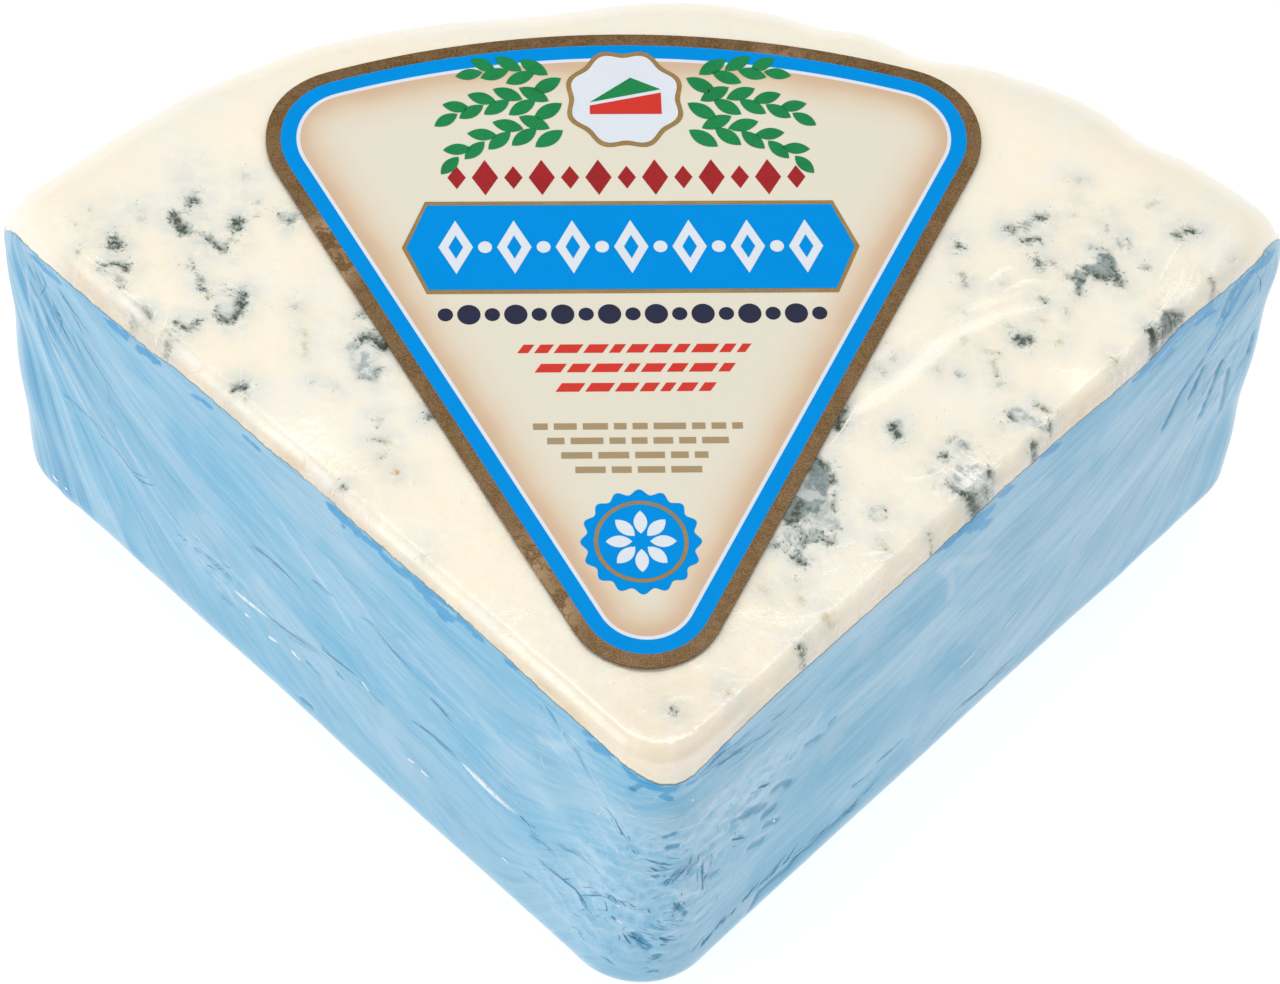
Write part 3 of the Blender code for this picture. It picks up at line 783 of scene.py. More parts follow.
# Veins: half width, strength, tint (0 is blue-green, 1 olive and 2 rust), and then each point's x and y.
VEINS = (
    (0.39, 1, 0, -72.1, 95.1, -71.5, 95.6, -71.1, 94.7), (0.35, 1, 0, -71.7, 94.5, -70.7, 94, -69.5, 93.5),
    (0.43, 1, 0, -71, 93.7, -70.3, 92.6, -69.8, 93),
    (0.16, 0.5, 0, -69.8, 93.3, -68.9, 92.8, -67.7, 92.3, -66.5, 91.6),
    (0.35, 0.9, 0, -66.5, 91.6, -65.6, 90.7, -64.8, 90, -63.9, 89.3),
    (0.2, 0.5, 0.6, -64.8, 90.3, -63.5, 90.9, -62.7, 91.3, -61.7, 91.1),
    (0.39, 1, 0, -62.8, 94.9, -61.8, 94.9, -62.3, 93.6, -62.8, 94.2),
    (0.18, 0.6, 0, -62.8, 93.1, -62.6, 92.2), (0.43, 1, 0, -80.7, 91.7, -80.2, 90.8, -79.6, 90.1),
    (0.35, 1, 0, -81.4, 89.9, -80.5, 89.7, -79.7, 90.3), (0.2, 0.5, 0, -79.4, 89.5, -79.3, 89),
    (0.22, 0.9, 0, -82.4, 86.3, -81.7, 86.5, -80.7, 86.8, -79.5, 86.7, -78.4, 86.3),
    (0.31, 0.9, 0, -78.4, 86.7, -78.4, 85.6), (0.2, 0.5, 0, -82.3, 85.7, -81.4, 85.2),
    (0.24, 0.45, 0.2, -80.5, 84.5, -79.3, 84.2, -78.6, 83.3), (0.25, 0.6, 0, -79.7, 82.9, -78.6, 82.8),
    (0.35, 0.9, 0, -77.5, 79, -76.8, 78.5, -76.4, 78.9), (0.45, 1, 0, -76.1, 78.7, -75.4, 78.4, -75.2, 77.8),
    (0.27, 0.8, 0, -71, 76.8, -70.3, 76, -69.2, 75.3, -68.3, 75.7, -67.5, 76.9),
    (0.2, 0.4, 0, -72.8, 75.6, -72.9, 74.7), (0.2, 0.5, 0, -71.9, 75.1, -71.5, 74.5),
    (0.29, 0.7, 0, -72.5, 73.3, -71.8, 73.5, -71.4, 73.1), (0.22, 0.6, 0, -72.1, 72.9, -71.5, 72.6),
    (0.25, 0.6, 0, -68, 84.4, -67.5, 84.7, -67, 83.7, -67, 82.2),
    (0.22, 0.5, 0, -68, 84.4, -67.8, 83.1, -67.1, 82.1), (0.31, 0.8, 0, -67, 82.2, -66.6, 82.4),
    (0.22, 0.5, 0.6, -66.8, 81.5, -66.2, 80.8, -65.8, 81),
    (0.35, 0.9, 0, -65, 78, -64.5, 77.7, -64.1, 77, -63.2, 76.8, -62.3, 77.2),
    (0.47, 1, 0, -62.3, 77.5, -61.7, 78.4, -61.3, 79.3, -61, 80.2),
    (0.39, 1, 0, -61.6, 79.7, -61.5, 80.6, -60.9, 81.8), (0.16, 0.5, 0, -63.6, 82.3, -62.7, 82.3, -61.5, 82),
    (0.2, 0.5, 0, -64.7, 79.4, -64.5, 78.4, -64.1, 77.8),
    (0.33, 0.8, 0, -69.7, 98.8, -68.6, 98.6, -68.1, 97.9),
    (0.29, 0.7, 0, -69.8, 97.5, -69.4, 98, -69.3, 97.1), (0.22, 0.5, 0, -70.2, 96.9, -69.5, 97.1),
    (0.22, 0.5, 0, -68.9, 99.1, -68.6, 99.9), (0.31, 0.3, 0, -67.5, 101, -67.3, 99.5),
    (0.29, 0.4, 0, -61.2, 103.3, -61, 102.2),
    (0.31, 0.6, 0, -55.8, 95.9, -55.2, 95.4, -54.3, 95.4, -53.2, 96),
    (0.37, 0.8, 0, -54.6, 95.2, -54.4, 94.5), (0.2, 0.35, 0, -59.6, 98.2, -58.8, 98.4),
    (0.2, 0.4, 0.8, -60, 95.3, -59.1, 95.9), (0.25, 0.6, 0.7, -85.8, 89.2, -85.8, 88.5),
    (0.25, 0.3, 0, -86.5, 94.1, -86.3, 93.4), (0.24, 0.3, 0, -84.3, 96.5, -84, 95.8),
    (0.18, 0.4, 0.6, -77.8, 95, -76.2, 94.8), (0.16, 0.35, 0.6, -77, 96.4, -75.8, 96.3),
    (0.25, 0.45, 0, -53.6, 79.4, -52.8, 79.6), (0.29, 0.4, 1.4, -51.9, 75.7, -51.7, 73.6, -51.5, 71.2),
    (0.29, 0.5, 0.1, -69.1, 87.9, -68.6, 86.9, -68.4, 86), (0.25, 0.5, 0.1, -69.4, 86.7, -68.6, 85.8),
    (0.39, 0.95, 0, -62.3, 65, -61.4, 65.1, -60.8, 65.6, -60.2, 65.1),
    (0.24, 0.45, 0.3, -60.4, 64, -60.1, 63.2),
    (0.43, 1, 0, -43.5, 73.8, -42.8, 74.3, -41.9, 74.5, -41.3, 74), (0.27, 0.7, 0, -41.6, 75.6, -41.8, 74.7),
    (0.51, 1.2, 0, -41, 73.6, -40.4, 73.1, -39.8, 72.9),
    (0.33, 0.65, 0.2, -43.9, 77.8, -43.3, 78.6, -42.7, 78.2),
    (0.18, 0.5, 0, -45.5, 72.5, -44.7, 72.7, -43.8, 72.9),
    (0.24, 0.5, 0, -43.8, 67.3, -42.9, 67.1, -41.8, 67.1, -41, 67.7),
    (0.33, 0.7, 0, -41.4, 68.3, -40.8, 68.5, -40.4, 68.9),
    (0.27, 0.5, 0, -41, 71.7, -40.3, 72.2, -39.5, 71.7), (0.2, 0.4, 0, -50.4, 66.3, -50, 65.9),
    (0.2, 0.3, 0, -47.4, 65.3, -46.8, 65.6), (0.27, 0.45, 0.3, -41.2, 59.8, -40.5, 60.3),
    (0.22, 0.4, 0.5, -41.2, 58.6, -40.4, 58.8), (0.29, 0.6, 0.8, -41.6, 56.3, -40.4, 56.4, -39.2, 56),
    (0.24, 0.5, 0.9, -41, 53.3, -39.8, 53.6), (0.27, 0.6, 2, -38.6, 51.2, -37.7, 50.7),
    (0.39, 0.85, 0, -33.4, 60.6, -33, 60.5), (0.27, 0.6, 0, -45.8, 48.9, -45.3, 48),
    (0.25, 0.5, 0.4, -47.5, 47, -47, 46.1), (0.39, 0.3, 0.6, -34.2, 37, -33.6, 36.3),
    (0.31, 0.9, 0, 58.7, 97.8, 59.4, 97.5, 60.2, 97.6), (0.18, 0.4, 0, 59.9, 98, 60.2, 98.7),
    (0.33, 0.8, 0, 54, 95.3, 54.6, 95.9, 55.4, 95.6, 54.9, 94.8),
    (0.24, 0.5, 0, 57.1, 97, 57.4, 96.3, 56.7, 95.6), (0.29, 0.8, 0, 56.3, 93.2, 57.5, 93.6, 59.2, 93.6),
    (0.47, 0.7, 0, 58.3, 90.2, 58.8, 89.1, 59.1, 88.4), (0.31, 0.5, 0.3, 59.5, 90, 60.4, 89.6, 61.5, 88.9),
    (0.29, 0.5, 0, 65.2, 104.5, 65.9, 104.5), (0.24, 0.35, 0, 64.3, 98.3, 64.8, 97.9),
    (0.24, 0.4, 0, 69.4, 96.5, 69.5, 95.1), (0.29, 0.5, 0.3, 72.5, 93.7, 72.7, 92.2),
    (0.27, 0.5, 0.3, 66.6, 92.5, 67.5, 91.9, 68.7, 92.1), (0.43, 0.8, 0, 65.3, 88.6, 66.6, 87.9, 67.8, 87.4),
    (0.47, 0.9, 0, 67.5, 87.1, 68.7, 86.7, 70.1, 86.9, 71.1, 85.9),
    (0.37, 0.7, 0, 69.3, 91.3, 69.8, 89.4, 70.4, 87.5), (0.27, 0.5, 0, 67.7, 89.8, 68.9, 90.9),
    (0.35, 0.8, 0, 63.5, 86.8, 64.6, 86.6, 65.5, 86.5), (0.31, 0.8, 0, 64.7, 86.3, 64.6, 84.8, 64.4, 83.9),
    (0.2, 0.4, 0.3, 62.6, 87.2, 63.5, 86.8), (0.22, 0.4, 0.8, 71.4, 85.7, 72.1, 85),
    (0.27, 0.6, 0, 74.1, 88.6, 74.9, 89, 75.6, 88.5), (0.33, 0.8, 0.2, 79.7, 94.9, 80.8, 94.7),
    (0.31, 0.9, 0, 81.5, 96, 82.3, 95.5, 83.4, 95.3), (0.2, 0.35, 0.3, 87.5, 90.7, 89, 91.1),
    (0.31, 0.45, 0.9, 76.2, 100, 77.3, 100.7), (0.35, 0.6, 0, 84.6, 87, 85.5, 85.9, 85.6, 83.8),
    (0.25, 0.5, 0, 87, 86.3, 86.2, 84.9), (0.39, 1.4, 0, 75.2, 77.7, 75.9, 76.4, 76.1, 74.7),
    (0.37, 0.9, 0, 77.2, 80.4, 78.7, 80.6, 80.1, 80.6), (0.27, 0.8, 0, 77.3, 79, 76.9, 77.2),
    (0.29, 0.7, 0, 79.5, 78.1, 78, 76.3), (0.27, 0.8, 0, 77.9, 79.9, 78.8, 78.6),
    (0.51, 1.1, 0, 54.8, 75.9, 55.2, 75.4, 55.6, 74.9), (0.39, 1, 0, 55.7, 75.4, 56.4, 75.8, 56.9, 75.4),
    (0.18, 0.35, 0.3, 53, 78.4, 54, 77.5), (0.31, 0.7, 0, 58.5, 82.8, 59.5, 82.4),
    (0.22, 0.4, 0.3, 57.7, 79.3, 58.9, 79.2), (0.22, 0.4, 0, 62.3, 81.2, 62.4, 80.1),
    (0.27, 0.5, 1, 60.8, 75.5, 61.4, 75.3), (0.29, 0.6, 1, 69, 72.2, 69.6, 71.9),
    (0.24, 0.4, 1, 49.7, 73.3, 50.9, 73, 51.9, 73.2),
    (0.27, 0.5, 0.5, 50.8, 71.4, 51.3, 70, 51.4, 68.2, 51.8, 67.6),
    (0.22, 0.45, 0.8, 52.6, 85.5, 53.5, 85.2), (0.31, 0.9, 0, 46.5, 92.7, 47, 91.8),
    (0.27, 0.6, 0, 46.9, 87.1, 47.4, 86), (0.22, 0.5, 0, 46.7, 85.4, 47.6, 85.1),
    (0.25, 0.45, 0.3, 46.7, 80.4, 47.2, 79.7), (0.29, 0.5, 0.2, 46.5, 75.6, 46.9, 74.7),
    (0.27, 0.5, 0, 45.3, 69.4, 46, 68.9), (0.31, 0.5, 0.4, 33.7, 69.9, 34.4, 69.2),
    (0.25, 0.5, 0, 35.9, 72.1, 36.4, 71.5), (0.35, 0.4, 1, 42.5, 70.4, 43.2, 69.5),
    (0.45, 1, 0, 35.7, 60.3, 35.4, 59.4, 35.9, 58.9, 36.2, 58.2), (0.25, 0.7, 0, 36.3, 60.7, 36.4, 59.6),
    (0.33, 0.9, 0, 23.9, 54, 24.6, 53.2, 25.5, 52.9), (0.37, 0.7, 0, 25, 52.5, 26, 51.5, 26.3, 49.8),
    (0.35, 0.6, 0, 26.1, 48.4, 26, 46.3, 26.4, 44.6), (0.67, 0.9, 0, 19.6, 43.3, 20.7, 44.9, 21.2, 46.6),
    (0.27, 0.6, 0, 23.1, 52.3, 24, 51.6), (0.22, 0.5, 0, 22, 44.9, 23.3, 45.3, 24.8, 44.8),
    (0.18, 0.4, 0.3, 21.1, 43.4, 22.8, 44.2, 24.6, 43.9),
    (0.31, 0.7, 0, 19, 43, 20.3, 42.7, 21.4, 41.5, 22.1, 40.5),
    (0.25, 0.6, 0, 22.2, 41.5, 23.2, 41.9, 24.7, 41.4, 26.1, 41.9, 27.2, 42.4),
    (0.29, 0.7, 0, 20.9, 39.5, 22.1, 40.3, 23.9, 40.3, 25.6, 39.7), (0.25, 0.6, 0, 25, 39.3, 26.2, 40.5),
    (0.25, 0.6, 0, 18.8, 40.4, 19.8, 39.4), (0.43, 0.8, 0, 19.9, 37.7, 20.6, 36.7, 21.7, 36.3),
    (0.27, 0.6, 0, 20.5, 38.4, 21.3, 37.6), (0.25, 0.5, 0, 18.3, 39.8, 18.6, 38.4, 19.4, 37.7),
    (0.39, 0.7, 0, 16.8, 39.6, 17.7, 39.1), (0.2, 0.4, 0, 31.4, 44.9, 32.3, 45.9, 33.6, 45.8, 34.2, 44.7),
    (0.2, 0.35, 0, 33.7, 43.9, 32.2, 43.5, 31.4, 44.4), (0.25, 0.6, 0.8, 33.2, 39.6, 33.8, 38.6),
    (0.29, 0.6, 0.9, 40.2, 41.9, 41.2, 40.9, 41.6, 39.9), (0.22, 0.5, 0, 43.4, 57.3, 44, 57.8, 44.9, 58),
    (0.33, 0.65, 0, 45.2, 57.1, 46.1, 56.6, 46.3, 56.1), (0.43, 0.9, 0, 42.6, 55, 43.2, 54.9),
    (0.43, 0.9, 0, 43.4, 50.5, 44.3, 49.5, 45.6, 48.9, 46.6, 48.5),
    (0.59, 1.2, 0, 46.6, 48.5, 47.7, 48, 48.6, 48.2, 49.2, 47.5), (0.45, 1, 0, 47.4, 47.3, 48.3, 47),
    (0.22, 0.5, 0.3, 46, 48, 46.9, 47), (0.22, 0.5, 0, 44.2, 52.4, 44.9, 53.3),
    (0.29, 0.7, 0, 49.4, 52.9, 49.8, 51.5), (0.31, 0.7, 0, 49, 50.1, 49.9, 49.4, 50.6, 49.1),
    (0.22, 0.5, 0, 50.1, 50.5, 50.8, 50.1), (0.47, 1, 0, 56.5, 57.5, 57.1, 56.6, 57.3, 55.8),
    (0.25, 0.7, 0, 57.2, 57.3, 58, 57), (0.33, 0.8, 0, 52.9, 62.3, 53.6, 61.4),
    (0.2, 0.35, 0.3, 51.8, 61.9, 51.7, 59.1), (0.35, 0.6, 0.3, 56.9, 64.1, 58, 63.8, 58.9, 62.7),
    (0.25, 0.6, 0, 58.8, 61.5, 59.2, 60.3), (0.25, 0.5, 0.5, 59, 59.3, 59.4, 57.9),
    (0.25, 0.6, 0, 40.7, 52.2, 41.3, 52.1), (0.2, 0.3, 0.3, 41.2, 50.3, 41.3, 49.5),
    (0.39, 1.3, 0, 27.2, 59.8, 27.8, 61.2, 28.5, 62.6), (0.27, 0.4, 0.3, 20, 33.4, 20.9, 32.7),
    (0.35, 0.5, 1.6, 24.1, 27.7, 24.9, 26.2), (0.35, 0.4, 1.6, 20.5, 30.5, 21.1, 29.7),
    (0.47, 0.7, 0, 20.4, 22.4, 21.1, 21.7), (0.35, 0.65, 0.2, 1.6, 11.9, 2.3, 11.3),
    (0.25, 0.6, 1.8, 9.8, 15.1, 10.2, 14.3), (0.29, 0.5, 1.6, 15.5, 31.8, 16.2, 31.1),
)
# Pockets of pale curd: half width, strength and points.
CURDS = (
    (2.16, 0.9, -43.8, 71.6, -42.9, 69.6, -42.3, 68.2), (1.18, 0.5, -44.7, 70.2, -44.4, 68.8),
    (2.16, 1, 47.2, 51.8, 48.6, 50.8), (1.57, 0.8, 45.3, 52.1, 46.1, 50.8),
    (1.18, 0.9, 53.8, 62.5, 55.8, 61.3, 58, 60.6), (1.37, 0.45, 32.3, 44.7, 33.3, 44.6),
    (1.37, 0.5, 44.6, 55.9, 45.2, 56.6), (1.57, 0.8, 22, 43.9, 23.7, 43.4, 25.7, 43.3),
    (1.18, 0.75, 19.5, 41.5, 20.7, 39.8, 23.6, 41), (0.98, 0.6, 20.9, 37.6, 21.3, 37.1),
    (1.18, 0.35, -79.7, 83.8, -79.2, 83.3), (0.78, 0.35, -68.8, 87.6, -68.8, 86.5),
    (0.59, 0.5, -67.5, 83.7, -67.3, 82.6),
)
# Places filled with slate-grey mould: half width, strength and points.
SLATES = (
    (1.76, 0.9, 24, 52.1, 24.5, 50.4, 23.6, 48.7), (1.96, 0.8, 22.1, 48, 22.9, 46.6, 24.4, 46),
    (1.18, 1, 20.7, 45.8, 19.9, 44.2), (1.18, 1, 68.9, 90, 69.1, 88.2, 67.9, 88.1),
    (0.78, 0.8, 66.4, 88.5, 67.5, 87.8), (0.59, 0.9, 69.8, 87.5, 70.5, 86.6),
    (0.98, 0.45, 57.6, 95.6, 57.3, 94.9), (1.37, 0.9, 77.6, 79.3, 78.8, 79.3, 78.4, 77.2),
    (0.69, 0.6, 64.5, 87.4, 64.7, 85.9), (0.69, 0.5, 58.8, 89.4, 59.1, 89.1),
    (1.18, 0.35, 71.2, 93.6, 71.8, 92.2), (0.78, 0.4, 85.3, 85.6, 85.8, 84.5),
    (0.78, 0.9, 48.3, 47.9, 47.9, 48),
)
# Soft grey-blue halos: half width, strength and points.
HALOS = (
    (2.55, 1, -63.7, 80.5, -62.2, 79.8, -63.2, 78), (2.35, 1, -68.3, 91.5, -66.8, 90.5, -65.5, 89.4),
    (2.75, 0.8, -80.7, 88.4, -80, 85.2), (3.53, 0.75, -69.4, 98, -67.8, 95.3),
    (2.35, 0.6, -62.1, 94.2, -62.3, 91.6), (2.35, 0.6, -55, 95.6, -53.5, 95.1),
    (2.55, 0.7, -69.1, 86.8, -66.7, 81.5), (2.16, 0.6, -76, 78.5, -74.7, 77.5),
    (2.16, 0.5, -69.2, 76.2, -67.3, 76.9), (3.92, 0.45, -84.6, 95.6, -76.8, 96.8),
    (2.75, 0.45, -61.3, 102.2, -60.4, 98.9), (3.14, 0.5, -68.8, 105.3, -70.2, 103.1),
    (3.33, 0.8, -42.8, 72.5, -41.7, 67.8), (2.35, 0.5, -50.1, 66.3, -47.1, 64.9),
    (2.35, 0.35, -40.7, 59.5, -39.8, 56), (2.16, 0.7, -61.1, 64.7, -59.9, 63.7),
    (2.35, 0.35, -54, 79.3, -53.7, 80.3), (2.16, 0.35, -51.7, 73.3, -52.1, 69.8),
    (3.33, 0.8, 57.3, 95.2, 59.8, 96.4), (2.55, 0.5, 59.6, 89.5, 61.8, 89.1),
    (2.35, 0.45, 65.4, 104.2, 64.6, 97.9), (3.14, 0.75, 69.9, 96.5, 72, 91.5),
    (3.53, 0.8, 67.9, 88.7, 65.3, 86.7), (2.55, 0.5, 74.9, 89, 75.6, 90.1),
    (2.35, 0.55, 80.5, 94.9, 82.8, 95.5), (2.55, 0.6, 85.6, 85.6, 86.7, 85.9),
    (2.75, 0.65, 55.7, 75.4, 58.3, 80.1), (2.55, 0.5, 62.3, 81.2, 59.4, 82.6),
    (2.55, 0.5, 51, 72.8, 51.4, 68.6), (2.16, 0.4, 47, 86.3, 46.8, 74.9),
    (1.96, 0.5, 46.5, 92.1, 47.1, 91.8), (1.76, 0.5, 35.7, 59.6, 35.9, 58.9),
    (4.71, 0.8, 22.7, 50.1, 23.2, 41.5), (3.14, 0.8, 20.9, 38.9, 20.1, 37.2),
    (2.55, 0.6, 32.6, 44.7, 33.7, 44.7), (3.33, 0.8, 45.1, 55.6, 45.6, 50.4),
    (2.94, 0.8, 48.6, 50.4, 50.1, 50.1), (2.94, 0.8, 55.8, 61.8, 58, 61),
    (1.76, 0.5, 56.8, 56.8, 57.7, 57.5), (1.76, 0.4, 51.7, 62.3, 51.7, 59.1),
    (1.96, 0.5, -33.1, 60.6, -32.5, 59.9), (2.16, 0.5, -45.6, 48.4, -47.3, 47),
    (1.76, 0.5, 20.7, 22, 21.3, 23), (1.76, 0.5, 1.8, 11.6, 2.3, 11.6), (2.35, 0.4, 20.2, 33, 19.2, 32),
)


def vein_numbers(x, y):
    """The nearest vein's offset, half width, strength and tint for each place, and how speckled it is."""
    held = {name: np.zeros(len(x)) for name in ("vein", "tint", "speck", "halo")}
    held["offset"] = np.full(len(x), 9.0)
    held["girth"] = np.full(len(x), 0.3)
    for width, strength, tint, *path in VEINS:
        offset, past, away = beside_path(x, y, path)
        near = strength * bell(away, width + 1.0) * bell(past, 0.25 + 0.5 * width)
        nearest = near > held["vein"]
        for name, value in (("vein", near), ("offset", offset), ("girth", width), ("tint", tint)):
            held[name] = np.where(nearest, value, held[name])
        held["speck"] = np.maximum(held["speck"], strength * bell(away, width + 1.0))
        held["halo"] = np.maximum(held["halo"], 0.85 * math.sqrt(strength) * bell(away, width + 2.6))
    return held


def mould_numbers(points):
    """What each point of the cheese holds of veins, halo, curds, slate and painted warm shade."""
    x, y, z = from_apex(points)
    numbers = vein_numbers(x, y)
    moved_x = x + 0.45 * noise(x / 1.7, y / 1.7, z / 3, 11, 2)
    moved_y = y + 0.45 * noise(x / 1.7, y / 1.7, z / 3, 12, 2)
    for name, marks in (("curd", CURDS), ("slate", SLATES), ("halo", HALOS)):
        numbers[name] = np.maximum(numbers.get(name, 0.0), mark_amount(moved_x, moved_y, marks))
    inset, along = edge_places(points)
    # Painted shade: the cut faces get a darker, warmer cream just under their edges, more on the left, and so
    # does the tip.
    cut_side = smooth_step(83.8, 81.4, z) * smooth_step(60, 70, z) * smooth_step(5, 2, inset)
    cut_side = cut_side * smooth_step(5, 22, along) * smooth_step(131, 121, along)
    front = bell(np.hypot(x, y - 4), 20)
    numbers["warm_shade"] = np.clip(cut_side * np.where(x < 0, 0.80, 0.55) + 0.30 * front, 0, 1)
    return numbers


# How far below the blue's border the hidden part of the cheese ends, and the part that shows begins.
HIDDEN_BELOW_BORDER = 0.003
SHOWN_BELOW_BORDER = 0.0007


def cheese_rows(run, stop):
    """Rows up the cheese: coarse where the blue film hides it, then from the blue's border over the top."""
    rows = [wall_point(run, HIDDEN_DEPTH, HIDDEN_DEPTH, further) for further in (0.030, 0.006)]
    inner = BASE_EDGE_RADIUS - HIDDEN_DEPTH
    heights = [BASE_EDGE_RADIUS - inner * math.cos(turn) for turn in np.linspace(0, math.pi / 2, 4)]
    hidden_top = stop - HIDDEN_BELOW_BORDER
    heights += [blend(BASE_EDGE_RADIUS, hidden_top, share) for share in (0.25, 0.5, 0.75, 1.0)]
    rows += [wall_point(run, z, HIDDEN_DEPTH) for z in heights]
    for share in np.linspace(0, 1, 10):
        z = blend(stop - SHOWN_BELOW_BORDER, HEIGHT - CUT_EDGE_RADIUS, share)
        rows.append(wall_point(run, z, blend(BORDER_DEPTH, CHEESE_DEPTH, border_room(z, stop))))
    return rows + upper_rows(run, CHEESE_DEPTH, CHEESE_SPACING)


def make_cheese():
    """The cheese, pitted along its veins and curds, a little uneven, and flat where the films lie close."""
    run = outline_runs(tip=17, side=240, corner=20, rind=152)
    stop = blue_stop(run)
    rows, normals = dented(cheese_rows(run, stop))
    points = rows.reshape(-1, 3)
    numbers = mould_numbers(points)
    x, y, z = (points / MM).T
    pits = 0.50 * smooth_step(0.35, 0.9, numbers["curd"]) + 0.40 * smooth_step(0.5, 1.1, numbers["speck"])
    uneven = 0.10 * noise(x / 6, y / 6, z / 6, 21, 3) + 0.05 * noise(x / 1.3, y / 1.3, z / 1.3, 22, 2)
    room = border_room(points[:, 2], np.tile(stop, len(rows)))
    relief = (uneven - pits - 0.05) * MM * room * (z > 60)
    points = points + relief[:, None] * normals.reshape(-1, 3)
    faces = band_faces(len(rows), len(run), base=True, lid=True)
    cheese = make_piece("cheese", points, faces, cheese_look(), numbers=numbers)
    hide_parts("cheese_wedge")


# ---------------------------------------------------------------- the films

BASE_EDGE_ROWS = 18
WALL_ROWS = 94
OVERLAP = 0.0016  # how far each film reaches past the border, which the blue film's look cuts ragged

# Deep blue along the border, where the film clings wet: width, and each point's run and height.
INK_PATCHES = (
    (2.9, -65.8, 78.7, -63.4, 79, -61, 79.3), (1.8, -64.6, 79, -62.8, 76.9), (1.7, -62.2, 79.3, -60.7, 77.5),
    (2.6, -59.2, 79, -56.8, 79.9), (2.9, -55, 78.7, -52.3, 78.7, -50.2, 79.9),
    (3.4, -49, 79.6, -46, 77.8, -42.7, 78.1), (3.1, -47.5, 80.2, -44.5, 80.8, -41.5, 81.7),
    (2.6, -43, 76.3, -41.2, 78.7), (2.9, -40, 80.2, -38.2, 79.9), (2.3, -37, 79.6, -36.1, 79.6),
    (2.1, -30.4, 79.6, -29.2, 79.9), (1.6, -14.8, 79, -13.6, 80.2), (3.1, -13, 77.8, -10.3, 79.6),
    (2.1, -7.6, 79.6, -5.5, 78.1), (3.1, -5.5, 77.5, -2.8, 76.6), (1.6, -4.9, 73.3, -3.4, 75.4),
    (2.6, -1.9, 76.3, 0.8, 74.5, 3.5, 74.2), (1.8, 1.1, 72.7, 2.6, 70.6),
    (2.3, 5.9, 74.2, 10.4, 74.5, 13.1, 76.6), (2.1, 58.1, 79, 61.4, 77.8),
    (3.1, 62.9, 78.1, 65.9, 77.8, 68.9, 76.9), (2.9, 65.6, 75.7, 68, 73), (2.6, 71.9, 78.7, 73.4, 78.4),
    (2.1, 81.2, 79.3, 83.6, 78.4), (2.6, 102.8, 76.9, 106.1, 78.4, 109.4, 79.6),
    (2.6, 110.6, 81.1, 114.5, 80.8, 117.2, 79), (2.1, 105.2, 75.1, 108.2, 75.7),
    (3.4, 128.6, 78.1, 131, 78.1, 131, 77.8), (2.6, 123.5, 77.8, 127.1, 78.7),
    (2.1, -127.9, 75.7, -124.6, 75.4, -121.3, 75.4), (2.3, -111.1, 76.6, -108.4, 76.6),
    (2.6, -104.8, 76.6, -101.8, 77.2), (1.8, -93.4, 77.2, -91, 77.8), (1.8, -83.5, 77.8, -80.8, 77.8),
    (2.3, 101, 77, 105.2, 77.9, 109.1, 79.6, 113.9, 80.3, 118.4, 80),
    (1.6, 104, 74.8, 109, 77, 114, 78, 118, 76.6), (1.6, 131, 79, 126.5, 78, 123.2, 75, 120.2, 71),
    (1.3, 124.7, 78.4, 120.8, 75.7, 117.8, 71), (1.1, 122.3, 76, 119.6, 70.3, 117, 64),
)
# Crumples: run, height, half length, half height, strength.
CRUMPLES = (
    (0, 40, 16, 26, 1.0), (12, 52, 16, 13, 0.9), (-10, 26, 12, 14, 0.8), (-88, 29, 10, 6, 0.7),
    (24, 55, 8, 7, 1.0), (120, 52, 8, 12, 0.5), (-18, 70, 8, 7, 0.35),
)


WIDEST_LANE = 46.0  # in millimetres; beyond it, lanes bunch up


def flow_places(run, z):
    """Coordinates that follow the film's pull: across the streaks, and twice along them.

    The streaks start together at a rear corner's top and spread, until they run level along the walls.
    """
    away = np.abs(np.abs(run) - CORNER_AT) / MM
    slant = 0.006 * away * smooth_step(-0.004, -0.030, run) * (np.abs(run) < CORNER_AT)
    spread = 1 - np.exp(-away / 38.0) + slant
    lane = (HEIGHT - z) / MM / np.maximum(spread, 0.02)
    lane = WIDEST_LANE * np.arctan(lane / WIDEST_LANE)
    turn = run / HALF_ROUND * math.pi
    radius = HALF_ROUND / math.pi / MM
    return lane, radius * np.cos(turn), radius * np.sin(turn), away


def wall_relief(run, z):
    """How far the blue film stands out, in metres, from its pleats, swells and crumples."""
    lane, around_x, around_y, away = flow_places(run, z)
    along, up = run / MM, z / MM
    near_corner = np.exp(-away / 34.0)
    pleats = ridges(noise(lane / 7.5, around_x / 40, around_y / 40, 31, 2))
    pleats = pleats * near_corner * smooth_step(1.5, 9.0, away)
    level = ridges(noise(lane / 6.5, around_x / 60, around_y / 60, 32, 2)) * (1 - near_corner)
    swell = noise(lane / 13, around_x / 30, around_y / 30, 33, 2)
    crushed = ridges(noise(along / 6.5 + 0.12 * up, up / 5.0, 0.5, 34, 2)) - 0.5
    crushed = crushed + 0.5 * (ridges(noise(along / 3.2, up / 3.6 - 0.1 * along, 4.5, 35, 2)) - 0.5)
    relief = 0.26 * pleats + 0.06 * level + 0.14 * swell + 0.30 * crumple_amount(run, z) * crushed
    relief = relief + 0.10 * wall_marks(run, z, PALE_FOLDS) - 0.22 * wall_marks(run, z, POCKETS)
    free = smooth_step(0.0008, 0.0060, blue_stop(run) - z)
    return blend(-0.07, relief - 0.20, free) * MM * smooth_step(0.0004, 0.0040, z)


